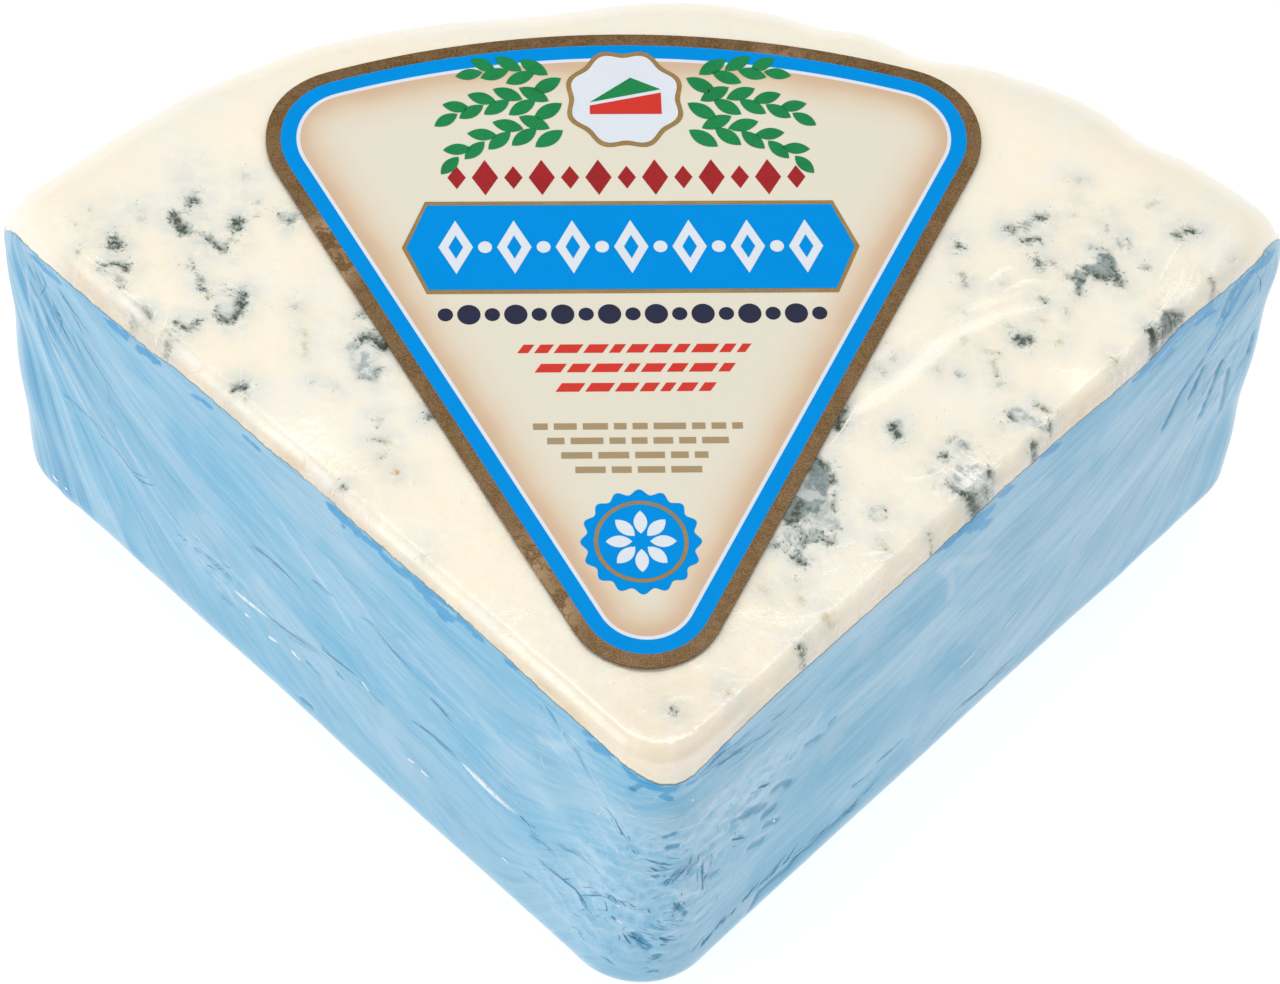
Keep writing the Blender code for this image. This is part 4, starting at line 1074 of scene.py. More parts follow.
def wall_marks(run, z, marks):
    """How strongly marks cover each place of the wall. A mark is its width and the points of its line."""
    return mark_amount(run / MM, z / MM, [(width / 2, 1.0, *path) for width, *path in marks])


def crumple_amount(run, z):
    value = 0.0
    for at, height, length, tall, strength in CRUMPLES:
        away = np.hypot((run / MM - at) / length, (z / MM - height) / tall)
        value = np.maximum(value, strength * smooth_step(1.25, 0.45, away))
    return value


def blue_rows(stop):
    """Heights of the blue film's rows, and how far each is drawn in."""
    rows = [(BLUE_DEPTH, further) for further in (0.040, 0.020, 0.006)]
    inner = BASE_EDGE_RADIUS - BLUE_DEPTH
    for turn in np.linspace(0, math.pi / 2, BASE_EDGE_ROWS):
        rows.append((BASE_EDGE_RADIUS - inner * math.cos(turn), 0.0))
    for share in np.linspace(0, 1, WALL_ROWS + 1)[1:]:
        rows.append((blend(BASE_EDGE_RADIUS, stop + OVERLAP, share), 0.0))
    return rows


def make_blue_film():
    run = outline_runs(tip=22, side=250, corner=22, rind=136)
    stop = blue_stop(run)
    heights = blue_rows(stop)
    plain = np.stack([wall_point(run, z, BLUE_DEPTH, further) for z, further in heights])
    z = plain[..., 2]
    runs = np.broadcast_to(run, z.shape)
    rows, normals = dented(plain)
    on_base = np.array([further > 0 for _, further in heights])[:, None]
    rows = rows + np.where(on_base, 0.0, wall_relief(runs, z))[..., None] * normals
    lane, around_x, around_y, away = flow_places(runs, z)
    # The fan: where the painted highlight and shade in the streaks is strongest, weaker on the right.
    fan = bell(away, 30.0) * smooth_step(0.5, 4.0, away) * np.where(runs > 0, 0.55, 1.0)
    numbers = {
        "flow": np.stack([lane, around_x, around_y], -1).reshape(-1, 3),
        "ink": wall_marks(runs, z, INK_PATCHES).ravel(),
        "crumple": crumple_amount(runs, z).ravel(),
        "pocket": wall_marks(runs, z, POCKETS).ravel(),
        "pale": wall_marks(runs, z, PALE_FOLDS).ravel(),
        "over": ((z - stop) / MM).ravel(),
        "fan": fan.ravel(),
    }
    points = np.clip(rows, cad_low, cad_high).reshape(-1, 3)
    faces = band_faces(len(rows), len(run), base=True)
    film = make_piece("blue_film", points, faces, blue_look(), numbers=numbers)
    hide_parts("blue_wrap")


# Milky places on the clear film, whose white is partly a painted highlight: half width, strength and points
# in millimetres from the apex.
MILK_AND_HIGHLIGHT = (
    (1.2, 0.5, -85, 86.4, -80, 81.2), (1.3, 0.6, -76.4, 76.6, -72.8, 73.8),
    (1.4, 0.7, -63, 64.8, -60.8, 63.4), (2.2, 1, -50, 52.4, -45, 47), (2.6, 0.6, 82, 86, 77, 80),
    (2.2, 0.7, 72, 72.6, 69, 70.6), (2.4, 1, 48.6, 55, 45, 51.6), (1.8, 0.8, 57, 61, 60, 62.6),
    (5, 0.3, 14, 26, 24, 30, 34, 36),
)
# The long fold and lesser ones across the clear film: width, height, strength and points.
CLEAR_FOLDS = (
    (3.7, 0.07, 0.85, 27.4, 60.4, 34.6, 66, 38.4, 69.2, 44, 74.8, 52, 79.6, 60, 81.6),
    (2.2, 0.05, 0.3, 44, 77.6, 50, 81.6, 58, 84.6), (2.0, 0.05, 0.25, 31, 70.4, 36, 73.6, 41, 77.8),
    (1.2, 0.08, 0.7, 50.6, 85.6, 53.4, 88, 55.4, 88.2), (1.4, 0.08, 0.6, 52.6, 83.6, 56.4, 85.8, 59.4, 85.8),
    (0.6, 0.08, 0.7, 36, 50.6, 41, 51.4, 44.4, 54.2), (1.0, 0.08, 0.8, 34.8, 42.4, 38.6, 42.2, 42.6, 43.4),
    (0.4, 0.06, 0.8, 30.6, 64, 27.4, 58.4, 24.6, 55),
)


def top_relief(points):
    """How far the clear film stands out, in metres: puckers where it is milky, and soft swells elsewhere."""
    x, y, _ = from_apex(points)
    inset, along = edge_places(points)
    near_edge = smooth_step(9.0, 1.5, inset) * smooth_step(0.1, 0.7, mark_amount(x, y, MILK_AND_HIGHLIGHT))
    puckers = ridges(noise(along / 1.8, inset / 9, 0.5, 41, 2)) * near_edge
    ripples = noise(x / 9, y / 3.2, 0.5, 42, 2) * smooth_step(-10, 20, x) * smooth_step(60, 20, y)
    broad = noise(x / 9, y / 9, 0.5, 43, 2)
    return (0.12 * puckers + 0.07 * ripples + 0.06 * broad - 0.09) * MM


def make_clear_film():
    run = outline_runs(tip=17, side=200, corner=18, rind=140)
    stop = blue_stop(run)
    heights = [blend(stop - 0.001, HEIGHT - CUT_EDGE_RADIUS, share) for share in np.linspace(0, 1, 16)]
    rows = [wall_point(run, z, CLEAR_DEPTH) for z in heights]
    rows, normals = dented(rows + upper_rows(run, CLEAR_DEPTH, CLEAR_SPACING))
    rows = rows + (top_relief(rows) * border_room(rows[..., 2], stop))[..., None] * normals
    points = rows.reshape(-1, 3)
    x, y, z = from_apex(points)
    inset, along = edge_places(points)
    # Painted highlight along the cut edges, full on the left and weaker on the right.
    ridge = bell(inset - 1.3, 1.0) * smooth_step(125, 110, along) * smooth_step(14, 40, along)
    ridge = ridge * smooth_step(-0.5, 0.5, noise(along / 9, 0.5, 0.5, 44, 2))
    numbers = {
        "milk_and_highlight": mark_amount(x, y, MILK_AND_HIGHLIGHT),
        "edge_highlight": ridge * np.where(points[:, 0] < 0, 1.0, 0.35),
        "pleat": np.stack([along / 0.8, inset / 0.8, z / 0.8], -1),
    }
    faces = band_faces(len(rows), len(run), lid=True)
    film = make_piece("clear_film", points, faces, clear_look(), numbers=numbers)
    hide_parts("clear_top")


# The lines along a fold: how far across it each runs, and how much of the fold's height it has.
LANES = np.array([-1.0, -0.5, 0.0, 0.5, 1.0])[:, None]
LANE_RISES = np.array([0.0, 0.62, 1.0, 0.62, 0.0])[:, None]
STROKE_LEAN = 0.75  # below 1, a stroke is widest before its middle
FOLD_LIFT = 0.00002  # keeps a fold's rim just above the film that it lies on


def fold_mesh(strokes, surface, spacing):
    """Tapered ridges along strokes on a surface, with each point's height, place across and strength."""
    spots, faces, held, first = [], [], [], 0
    for path, width, height, strength in strokes:
        line = smooth_path(path, spacing)
        heading = np.gradient(line, axis=0)
        heading /= np.linalg.norm(heading, axis=1, keepdims=True)
        upwards = 1 if heading[:, 0].sum() > 0 else -1
        sideways = np.stack([-heading[:, 1], heading[:, 0]], 1) * upwards
        taper = np.sqrt(np.clip(np.sin(math.pi * np.linspace(0, 1, len(line)) ** STROKE_LEAN), 0.0, 1))
        spots.append((line + sideways * (LANES * width / 2 * taper)[..., None]).reshape(-1, 2))
        lanes = np.broadcast_arrays(LANE_RISES * height * taper * MM, LANE_RISES * taper, LANES, strength)
        held.append(np.reshape(lanes, (4, -1)))
        count = len(line)
        corner = first + np.arange(len(LANES) * count).reshape(-1, count)[:-1, :-1].ravel()
        quads = np.stack([corner, corner + 1, corner + 1 + count, corner + count], 1)
        faces += quads[:, ::upwards].tolist()
        first += count * len(LANES)
    place, normal = surface(*np.concatenate(spots).T)
    rise, *rest = np.concatenate(held, 1)
    return place + normal * (rise[:, None] + FOLD_LIFT), faces, dict(zip(("crest", "lane", "deep"), rest))


def top_surface(x, y):
    """The clear film's place and direction above a place on the top."""
    point = np.stack([x * MM + APEX[0], y * MM + APEX[1], np.full(len(x), HEIGHT - CLEAR_DEPTH)], -1)
    inset, _ = edge_places(point)
    over_edge = np.clip(CUT_EDGE_RADIUS / MM - inset, 0, CUT_EDGE_RADIUS / MM * 0.98)
    inner = (CUT_EDGE_RADIUS - CLEAR_DEPTH) / MM
    drop = inner - np.sqrt(np.maximum(inner**2 - over_edge**2, 0.01))
    point[:, 2] -= drop * MM
    tilt = over_edge / inner
    upright = np.sqrt(np.maximum(1 - tilt**2, 0.0))
    outward = np.sign(x) * tilt * math.cos(HALF_ANGLE)
    normal = np.stack([outward, -tilt * math.sin(HALF_ANGLE), upright], -1)
    return point + top_relief(point)[:, None] * normal, normal


LOWEST_PLACE = 0.0004  # below it, the base's rounded edge is too flat for a height to tell places apart


def facing(surface, run, z, step):
    """The outward direction of a surface, from its places a step to each side."""
    across = surface(run + step, z) - surface(run - step, z)
    up = surface(run, z + step) - surface(run, np.maximum(z - step, LOWEST_PLACE))
    normal = np.cross(across, up)
    return normal / np.linalg.norm(normal, axis=-1, keepdims=True)


def blue_form(run, z):
    """The blue film before it is dented, pressed and pleated."""
    return wall_point(run, z, BLUE_DEPTH)


def blue_point(run, z):
    """The blue film's surface, dented, pressed and pleated as the film's own piece is."""
    place = blue_form(run, z)
    return place + (wall_relief(run, z) - dent(place))[..., None] * facing(blue_form, run, z, 0.0005)


def wall_surface(run, height):
    """The blue film's place and direction at a run and a height in millimetres."""
    run, z = run * MM, np.maximum(height * MM, 0.0005)
    return blue_point(run, z), facing(blue_point, run, z, 0.0004)


# Marks on the blue film: width, and each point's run and height. Creases are dark, partly deeper film and
# partly painted shade, and glints are painted highlights where they catch the light. In pockets the film
# clings, and their deep teal is partly painted shadow. Pale folds stand off, and their pale lilac is painted
# sheen.
CREASES = (
    (0.6, -92.5, 31.9, -88, 32.2, -85.3, 30.4),
    (0.8, -81.4, 47.2, -77.8, 48.7, -74.8, 48.7, -71.5, 47.5, -68.8, 45.7),
    (0.5, -68.8, 52.3, -65.5, 53.5, -61.9, 54.4),
    (0.7, -58.6, 55, -55.9, 56.5, -53.2, 55.6, -50.5, 54.1, -46.3, 52.6),
    (0.8, -43.6, 49.3, -40.9, 48.7, -38.2, 46.9), (0.9, -47.8, 35.8, -43, 37.6, -36.7, 38.5),
    (0.8, -66.1, 34.9, -62.5, 35.5, -58.3, 35.8), (0.4, -58.3, 35.2, -54.7, 34, -52.6, 33.4),
    (0.7, -79, 29.2, -73.9, 29.5, -68.8, 31, -63.7, 32.8), (0.5, -63.1, 31, -60.4, 31.6),
    (0.5, -70.3, 25, -66.1, 25), (0.6, -88.6, 22.9, -85.6, 22.9), (0.6, -22.6, 76.9, -19, 73.6),
    (0.5, -122.8, 41.5, -118.3, 42.4, -114.1, 41.5, -111.4, 40.3),
    (0.6, -115.3, 40, -110.2, 39.7, -106, 37, -100.9, 40.6),
    (0.35, -20.8, 74.5, -16.6, 72.1, -13.3, 67.6, -10.3, 64), (0.7, -9.4, 62.5, -7, 60.7, -4, 55.6),
    (0.6, -6.1, 58.6, -4, 55.6), (0.4, -3.7, 54.4, -2.2, 51.4), (0.7, -24.4, 37.3, -21.4, 36.1),
    (0.7, -22.3, 34.3, -19.3, 34.6, -16, 34.9),
    (0.6, -16.9, 38.8, -15.1, 38.8, -12.7, 40.3, -10, 40.6, -7.9, 41.2),
    (0.8, -20.5, 28.9, -18.1, 29.2, -14.5, 29.5, -11.5, 28.9, -9.4, 26.8, -7, 26.2),
    (0.5, -22.3, 20.2, -18.4, 21.1), (0.6, -11.2, 28.3, -7.6, 33.7, -4.9, 34.3), (0.6, -5.8, 36.4, -3.7, 34),
    (0.6, -5.2, 30.4, -3.7, 28.3), (0.6, -5.5, 15.7, -3.1, 14.2), (0.4, -10.3, 17.8, -8.8, 16.9),
    (1, -1, 51.1, 1.7, 49.6, 4.1, 48.1), (0.7, -0.4, 48.7, 1.7, 47.5, 3.5, 47.5), (1, -0.1, 46, 1.7, 45.4),
    (0.8, 2, 42.7, 4.4, 46, 7.7, 46.6), (0.6, 3.2, 42.7, 6.8, 47.2), (0.6, 8.9, 35.8, 8.9, 40.9, 9.2, 45.7),
    (0.5, -1.6, 28, 2, 24.7), (1.3, 2, 25, 3.2, 23.2, 4.4, 22.6), (0.4, 0.2, 30.1, 5, 25.6),
    (0.5, 3.5, 34.3, 5.6, 34), (0.5, 3.2, 31.3, 5.9, 28), (0.6, 0.8, 17.8, 2.6, 17.8),
    (0.8, 0.8, 13.9, 2.6, 13.6), (0.9, 68, 15.4, 73.7, 13.9, 77.6, 14.8, 83.3, 14.2),
    (0.6, 47.9, 22.6, 55.1, 21.7), (0.6, 41.9, 22, 47.9, 20.8), (0.8, 130.1, 79.6, 122.6, 74.5, 119.6, 71.5),
    (0.5, 11.6, 74.8, 16.1, 74.2, 20.6, 73.6), (0.5, 10.7, 73, 14.9, 71.2, 18.8, 70.3),
    (0.8, 15.2, 43, 18.5, 39.1), (0.8, 20.6, 52.3, 23.9, 49.6),
    (0.5, -122.8, 67.6, -120.4, 62.2, -118, 58.9), (0.5, -127.3, 73.9, -123.4, 66.7, -121, 59.2),
    (0.5, -121.9, 72.7, -116.5, 68.8, -112.6, 66.7),
)
GLINTS = (
    (1.3, -85.3, 28.9, -81.1, 28.9, -77.2, 28.9), (1, -83.2, 23.8, -81.4, 24.7),
    (1.2, -78.1, 23.2, -75.4, 24.1), (1.2, -73.3, 25, -70.3, 24.1), (0.8, -57.7, 35.8, -55.3, 34),
    (1, -47.5, 23.8, -45.4, 24.7), (1, -44.8, 24.1, -42.4, 23.8),
    (1.9, -36.7, 37.9, -32.8, 37.3, -28, 36.7, -24.4, 37), (0.6, -27.1, 19, -25, 19),
    (1, -128.2, 12.7, -126.1, 12.4), (0.9, -125.2, 12.1, -124.3, 12.1), (0.7, -4.6, 34.3, -4, 33.1),
    (0.7, -4.3, 30.1, -3.4, 28.6), (0.5, 24.5, 36.4, 25.1, 34.3), (0.5, 6.8, 68.5, 7.1, 67.3),
    (0.5, 65.6, 30.1, 70.7, 31.9), (0.5, 75.5, 30.4, 80.3, 32.8),
)
POCKETS = (
    (2, 24.5, 46, 26.6, 45.1, 28.1, 43), (2.6, 18.2, 47.2, 20.3, 45.4, 22.4, 43.3),
    (2.4, 22.7, 40.6, 24.5, 40), (2, 22.7, 37, 25.4, 34.6), (1.4, 15.5, 48.7, 17.3, 47.2),
    (2.6, 19.4, 34.6, 22.1, 32.8), (1.8, 2, 58.9, 3.5, 59.8), (1.8, 2.6, 55, 4.1, 55),
    (2, 9.8, 38.5, 11.9, 36.7), (1.6, -4.6, 73, -3.4, 75.4), (1.8, 20.3, 10.6, 22.4, 13.9),
    (2.2, 22.7, 13.6, 27.2, 13.6), (2, 27.2, 13, 30.5, 14.2), (1.4, 30.5, 14.2, 38, 13.9, 44, 13.9),
    (1.6, -70.6, 12.1, -68.5, 12.4), (1.4, 1.7, 18.7, 2.3, 18.4), (2, -1.3, 25.6, 0.5, 21.4),
    (1.2, 5.9, 30.7, 4.4, 35.2), (1.6, 31.4, 51.1, 34.1, 49.9), (1.2, 36.2, 51.4, 37.4, 51.7),
    (1.6, 123.5, 77.8, 120.2, 74.8, 119.3, 72.1), (1.4, 115.1, 53.5, 117.5, 59.2),
    (1.5, 116.6, 62.5, 114.2, 59.5, 112.1, 56.2, 109.5, 51), (1.5, 122, 56, 120.5, 49.6, 119.3, 43.9),
    (1.5, 124.4, 51, 125.2, 44, 126.2, 37.6), (1.3, 130.1, 54.7, 129.8, 49.6),
)
PALE_FOLDS = (
    (1.6, -2.2, 57.1, -1, 55.6, -1.6, 52.9), (1.6, 7.7, 50.8, 8.6, 45.4, 9.8, 40.9),
    (1.2, 1.7, 58.3, 1.4, 55, 2.9, 53.2), (2, -9.4, 35.5, -10.3, 31.3, -8.5, 31.9),
    (2, 13.4, 47.8, 11.9, 46, 11, 43.3), (1.4, 17.3, 49.9, 16.1, 48.1, 17.9, 42.7),
    (1.8, -6.1, 61.9, -4.9, 59.5), (2.4, 8.3, 59.8, 11.6, 62.2, 16.7, 60.7),
    (2.4, -22.3, 65.8, -19.3, 67.6, -16.6, 73), (1.6, 4.1, 40.9, 5.6, 37.3, 7.4, 36.7),
    (1.2, -3.1, 37.9, -1, 34.6, -0.7, 31.9), (2.2, 33.2, 58.9, 31.7, 57.1, 29, 57.7),
    (2.6, 58.4, 72.4, 60.8, 64.6, 60.8, 59.8), (2.6, 59, 71.5, 64.4, 65.5, 69.2, 61.3),
    (1.4, 104.9, 59.2, 107.6, 60.7, 109.4, 61.3), (1.2, -74.5, 62.8, -66.1, 55.6, -59.8, 48.7),
    (1.2, -64.3, 64, -58, 60.1, -49.6, 52.9), (1.4, -109.3, 46.9, -101.2, 36.1, -94.6, 32.2),
    (1.2, -125.8, 64.3, -122.5, 53.8, -118, 45.4), (1.2, -127.9, 70, -127, 57.4, -125.2, 45.1),
    (1.4, -49.9, 58.6, -41.5, 54.4, -35.2, 53.8),
)
# Short creases: run, height, spread along and up, how many, heading and its spread in degrees, then length,
# width and strength.
CREASE_SWARMS = (
    (2, 36, 9, 15, 18, 60, 60, 2.6, 0.34, 0.40),
    (16, 50, 9, 8, 14, 10, 40, 3.0, 0.34, 0.40),
    (-9, 22, 7, 7, 12, 30, 40, 3.6, 0.34, 0.40),
    (-2.4, 25, 1.6, 1.2, 9, -60, 8, 3.4, 0.42, 0.90),
    (4.6, 44.4, 1.4, 1.2, 7, 42, 6, 4.2, 0.40, 0.70),
    (13, 73, 8, 4.0, 22, -7, 6, 7.0, 0.50, 0.45),
    (4.4, 33.6, 3.0, 2.4, 14, 70, 50, 1.8, 0.34, 0.60),
    (-5, 35.6, 2.6, 1.6, 12, -35, 30, 2.6, 0.38, 0.60),
    (9.2, 40.5, 0.8, 4.0, 5, 82, 8, 5.0, 0.36, 0.60),
    (8, 13.8, 2.0, 0.6, 7, 40, 12, 3.4, 0.45, 0.90),
    (13, 15, 3.0, 0.6, 7, 30, 12, 3.4, 0.45, 0.90),
    (19, 15.4, 3.0, 0.7, 8, 32, 12, 3.6, 0.45, 0.95),
    (25, 15.6, 4.0, 0.8, 8, 14, 12, 4.0, 0.45, 0.90),
    (33, 14.6, 5.0, 0.7, 8, 6, 10, 4.5, 0.42, 0.80),
    (41, 14.2, 5.0, 0.7, 7, 4, 10, 4.5, 0.40, 0.70),
    (-90, 30, 8, 4, 14, 20, 30, 3.0, 0.34, 0.45),
    (123, 55, 6, 12, 12, 62, 16, 8.0, 0.40, 0.40),
    (-122, 62, 8, 12, 16, -58, 10, 9.0, 0.40, 0.40),
    (-70, 40, 26, 14, 14, -16, 12, 5.0, 0.34, 0.25),
    (60, 40, 26, 14, 10, 24, 14, 5.0, 0.34, 0.20),
)
# The same numbers, for thin pale creases.
PALE_SWARMS = (
    (2, 60, 14, 12, 46, 20, 50, 4.0, 0.50, 0.16),
    (14, 52, 9, 12, 40, 55, 40, 5.0, 0.50, 0.20),
    (3, 34, 10, 14, 46, 60, 60, 3.0, 0.45, 0.20),
    (30, 58, 14, 10, 26, 24, 20, 5.0, 0.50, 0.14),
    (-16, 66, 10, 9, 24, -30, 24, 4.0, 0.50, 0.14),
    (-50, 50, 26, 18, 40, -18, 10, 7.0, 0.45, 0.10),
    (-95, 45, 22, 18, 40, -28, 12, 7.0, 0.45, 0.12),
    (80, 50, 28, 16, 40, 24, 10, 7.0, 0.45, 0.10),
    (118, 55, 9, 16, 34, 60, 10, 8.0, 0.45, 0.16),
)


def swarm_strokes(swarms, seed, height):
    """Many short strokes strewn round given places, by a seeded draw."""
    draw = np.random.default_rng(seed)
    strokes = []
    for at, level, spread, tall, count, heading, fan, length, width, strength in swarms:
        for _ in range(count):
            x = at + spread * draw.normal() * 0.6
            y = level + tall * draw.normal() * 0.6
            turn = math.radians(heading + fan * draw.normal())
            bend = math.radians(18 * draw.normal())
            long = length * draw.uniform(0.5, 1.3)
            a = np.array([x, y])
            b = a + 0.5 * long * np.array([math.cos(turn), math.sin(turn)])
            c = b + 0.5 * long * np.array([math.cos(turn + bend), math.sin(turn + bend)])
            thick = width * draw.uniform(0.6, 1.4)
            tall_here = height * draw.uniform(0.6, 1.3)
            strokes.append(((a, b, c), thick, tall_here, strength * draw.uniform(0.5, 1.2)))
    return strokes


def stranded(marks, seed):
    """Each crease as a line with thinner, shorter ones beside it, by a seeded draw."""
    draw = np.random.default_rng(seed)
    strokes = []
    for width, *path in marks:
        strokes.append((path, width, min(0.10, 0.12 * width), min(0.15 + 0.45 * width, 0.9)))
        line = smooth_path(path, 1.0)
        for _ in range(4):
            first = int(draw.uniform(0, 0.6) * len(line))
            count = 2 + int(draw.uniform(0.2, 0.5) * len(line))
            piece = line[first : first + count]
            shift = draw.normal(size=2) * (0.35 + 0.45 * width)
            if len(piece) > 1:
                strokes.append((piece + shift, 0.2 + 0.3 * width, 0.04, draw.uniform(0.3, 0.6)))
    return strokes


def on_blue(strokes):
    """The strokes that lie wholly on the blue film."""
    kept = []
    for path, *rest in strokes:
        run, height = np.reshape(path, (-1, 2)).T
        if (height < blue_stop(run * MM) / MM - 0.8).all() and height.min() > 1.5:
            kept.append((path, *rest))
    return kept


def make_blue_folds():
    creases = on_blue(stranded(CREASES, seed=7) + swarm_strokes(CREASE_SWARMS, seed=5, height=0.06))
    glints = [(path, 1.4 * width, 0.16, 1.0) for width, *path in GLINTS]
    glints = on_blue(glints + swarm_strokes(PALE_SWARMS, seed=6, height=0.05))
    spacing = 0.6
    points, faces, numbers = fold_mesh(creases + glints, wall_surface, spacing)
    first_glint = sum(len(smooth_path(path, spacing)) for path, *_ in creases) * len(LANES)
    numbers["shine"] = np.arange(len(points)) >= first_glint
    points = np.clip(points, cad_low, cad_high)
    folds = make_piece("blue_folds", points, faces, crease_look(), numbers=numbers)
    folds.visible_shadow = False


# Strokes where the clear film puckers, as for the short creases, but at x and y from the apex.
FEATHERS = (
    (-85.0, 86.8, 2.0, 2.0, 7, -42, 6, 7.5, 0.45, 0.75),
    (-74.6, 75.0, 1.6, 1.4, 12, 78, 12, 2.6, 0.30, 0.75),
    (-62.4, 64.0, 1.6, 1.2, 8, 50, 30, 3.0, 0.30, 0.70),
    (-47.6, 49.6, 2.6, 2.4, 22, 60, 40, 3.0, 0.30, 0.75),
    (78.0, 80.6, 3.2, 3.2, 18, 60, 7, 7.5, 0.26, 0.80),
    (70.0, 71.6, 2.2, 2.0, 10, 62, 22, 4.0, 0.30, 0.70),
    (46.8, 52.0, 2.2, 2.0, 14, 30, 60, 3.0, 0.34, 0.80),
    (57.4, 61.6, 2.0, 1.6, 8, 40, 50, 3.0, 0.34, 0.70),
    (22.0, 27.0, 7.0, 3.5, 16, 6, 12, 8.0, 0.80, 0.50),
    (9.0, 14.0, 5.0, 3.5, 8, 8, 18, 6.0, 0.80, 0.40),
    (30.0, 36.0, 5.0, 4.0, 10, 10, 14, 7.0, 0.70, 0.50),
    (-22.0, 27.0, 2.0, 2.0, 5, 30, 24, 5.0, 0.45, 0.50),
)


def make_clear_folds():
    kept = []
    folds = [(path, width, height, strength) for width, height, strength, *path in CLEAR_FOLDS]
    for path, *rest in folds + swarm_strokes(FEATHERS, seed=8, height=0.07):
        path = np.reshape(path, (-1, 2))
        if cut_inset(*path.T).min() > 1.0:
            kept.append((path, *rest))
    points, faces, numbers = fold_mesh(kept, top_surface, spacing=0.35)
    folds = make_piece("clear_folds", points, faces, fold_look(), numbers=numbers)
    folds.visible_shadow = False


# ---------------------------------------------------------------- the label

PRINT_BLUE = srgb(0, 145, 228)
PRINT_WHITE = srgb(226, 232, 240)
LABEL_COUNTS = 16, 60, 16, 60  # points on half the tip, a side, a corner and half the arc
SHARPEST_RADIUS = 0.0006
# Where the gold is rubbed: x, y, half width.
SCUFFS = ((-49.0, 92.0, 3.4), (-47.2, 86.0, 3.0), (-20.5, 34.0, 5.0), (-16.0, 27.0, 4.0), (20.0, 122.5, 5.0))


def label_outline(inset):
    """The label's outline, drawn in by inset, in the label's own axes."""
    part = np.append(np.repeat([0, 1, 2, 3], LABEL_COUNTS), 3)
    share = np.concatenate([np.linspace(0, 1, count, endpoint=False) for count in LABEL_COUNTS] + [[1.0]])
    half = len(part)
    around = np.concatenate([np.arange(half), np.arange(half - 2, 0, -1)])
    side = np.where(np.arange(len(around)) < half, 1.0, -1.0)
    radii = [max(radius - inset, SHARPEST_RADIUS) for radius in (LABEL_TIP_RADIUS, LABEL_CORNER_RADIUS)]
    form = LABEL_HALF_ANGLE, LABEL_ARC_RADIUS, LABEL_ARC_SETBACK, *radii
    return np.stack(sector_point((part[around], share[around], side), form, inset, inset), -1)


def on_label(spots, rise=0.0):
    """Places on the label, which bends down with the cheese's rim, from places in its own axes."""
    x, y = np.asarray(spots, float).T
    turned_x = x * math.cos(LABEL_LEAN) - y * math.sin(LABEL_LEAN) + LABEL_POINT[0]
    turned_y = x * math.sin(LABEL_LEAN) + y * math.cos(LABEL_LEAN) + LABEL_POINT[1]
    past = np.maximum(np.hypot(turned_x, turned_y) - (WHEEL_RADIUS - RIM_RADIUS), 0)
    drop = RIM_RADIUS - np.sqrt(RIM_RADIUS**2 - np.minimum(past, RIM_RADIUS * 0.9) ** 2)
    wave = 0.00001 * noise(turned_x / 0.017, turned_y / 0.017, 0.0, 51, 2)
    return np.stack([turned_x + APEX[0], turned_y + APEX[1], LABEL_TOP + rise - drop + wave], -1)


def make_label():
    """The label: gold, blue and white bands round a cream field, on a thin edge."""
    bands = np.cumsum([0, GOLD_BAND, BLUE_BAND, WHITE_BAND])
    insets = [*bands, *(bands[-1] + np.linspace(0, 0.010, 12)[1:]), 0.019, 0.024, 0.030, 0.034]
    rows = [on_label(label_outline(0.0), LABEL_UNDERSIDE - LABEL_TOP)]
    rows += [on_label(label_outline(inset)) for inset in insets]
    across = len(rows[0])
    points = np.concatenate(rows)
    faces = band_faces(len(rows), across, lid=True)
    band_looks = np.clip(np.arange(len(rows) - 1) - 1, 0, len(bands) - 1)
    looks = np.append(np.repeat(band_looks, across), band_looks[-1])
    x, y, _ = from_apex(points)
    scuff = np.full(len(points), 0.12)
    for at_x, at_y, width in SCUFFS:
        scuff = np.maximum(scuff, bell(np.hypot(x - at_x, y - at_y), width))
    numbers = {"inset": np.repeat([0.0, *insets], across), "scuff": scuff}
    materials = [
        gold_look(), paper_look("label_blue", PRINT_BLUE, shine=0.03), paper_look("label_white", PRINT_WHITE),
        cream_paper_look(),
    ]
    label = make_piece(
        "label_sheet", points, faces, materials,
        smooth=False, numbers=numbers, face_looks=looks,
    )
    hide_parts("label")


# Middles of the printed shapes, in millimetres in the label's axes.
SEAL_AT = (-0.3, 34.8)
BANNER_AT = (0.2, 86.3)
PLAQUE_AT = (0.2, 113.4)
BANNER_STEP = 8.8


def lozenge(x, y, width, height):
    return np.array([(x, y - height / 2), (x + width / 2, y), (x, y + height / 2), (x - width / 2, y)])


def disc(x, y, radius, lobes=0, depth=0.0, count=72, start=0.0):
    """A round shape, with lobes round its rim where it has any."""
    turns = start + np.linspace(0, 2 * math.pi, count, endpoint=False)
    reach = radius - depth * (0.5 - 0.5 * np.cos(lobes * (turns - start)))
    return np.stack([x + reach * np.cos(turns), y + reach * np.sin(turns)], -1)


def leaf(x, y, turn, length, width):
    """A pointed leaf that starts at x, y."""
    share = np.linspace(0, 1, 9)
    bulge = width / 2 * np.sin(math.pi * share) ** 0.8
    there = np.stack([share * length, -bulge], -1)
    back = np.stack([share * length, bulge], -1)[-2:0:-1]
    cosine, sine = math.cos(turn), math.sin(turn)
    return np.concatenate([there, back]) @ np.array([[cosine, sine], [-sine, cosine]]) + (x, y)


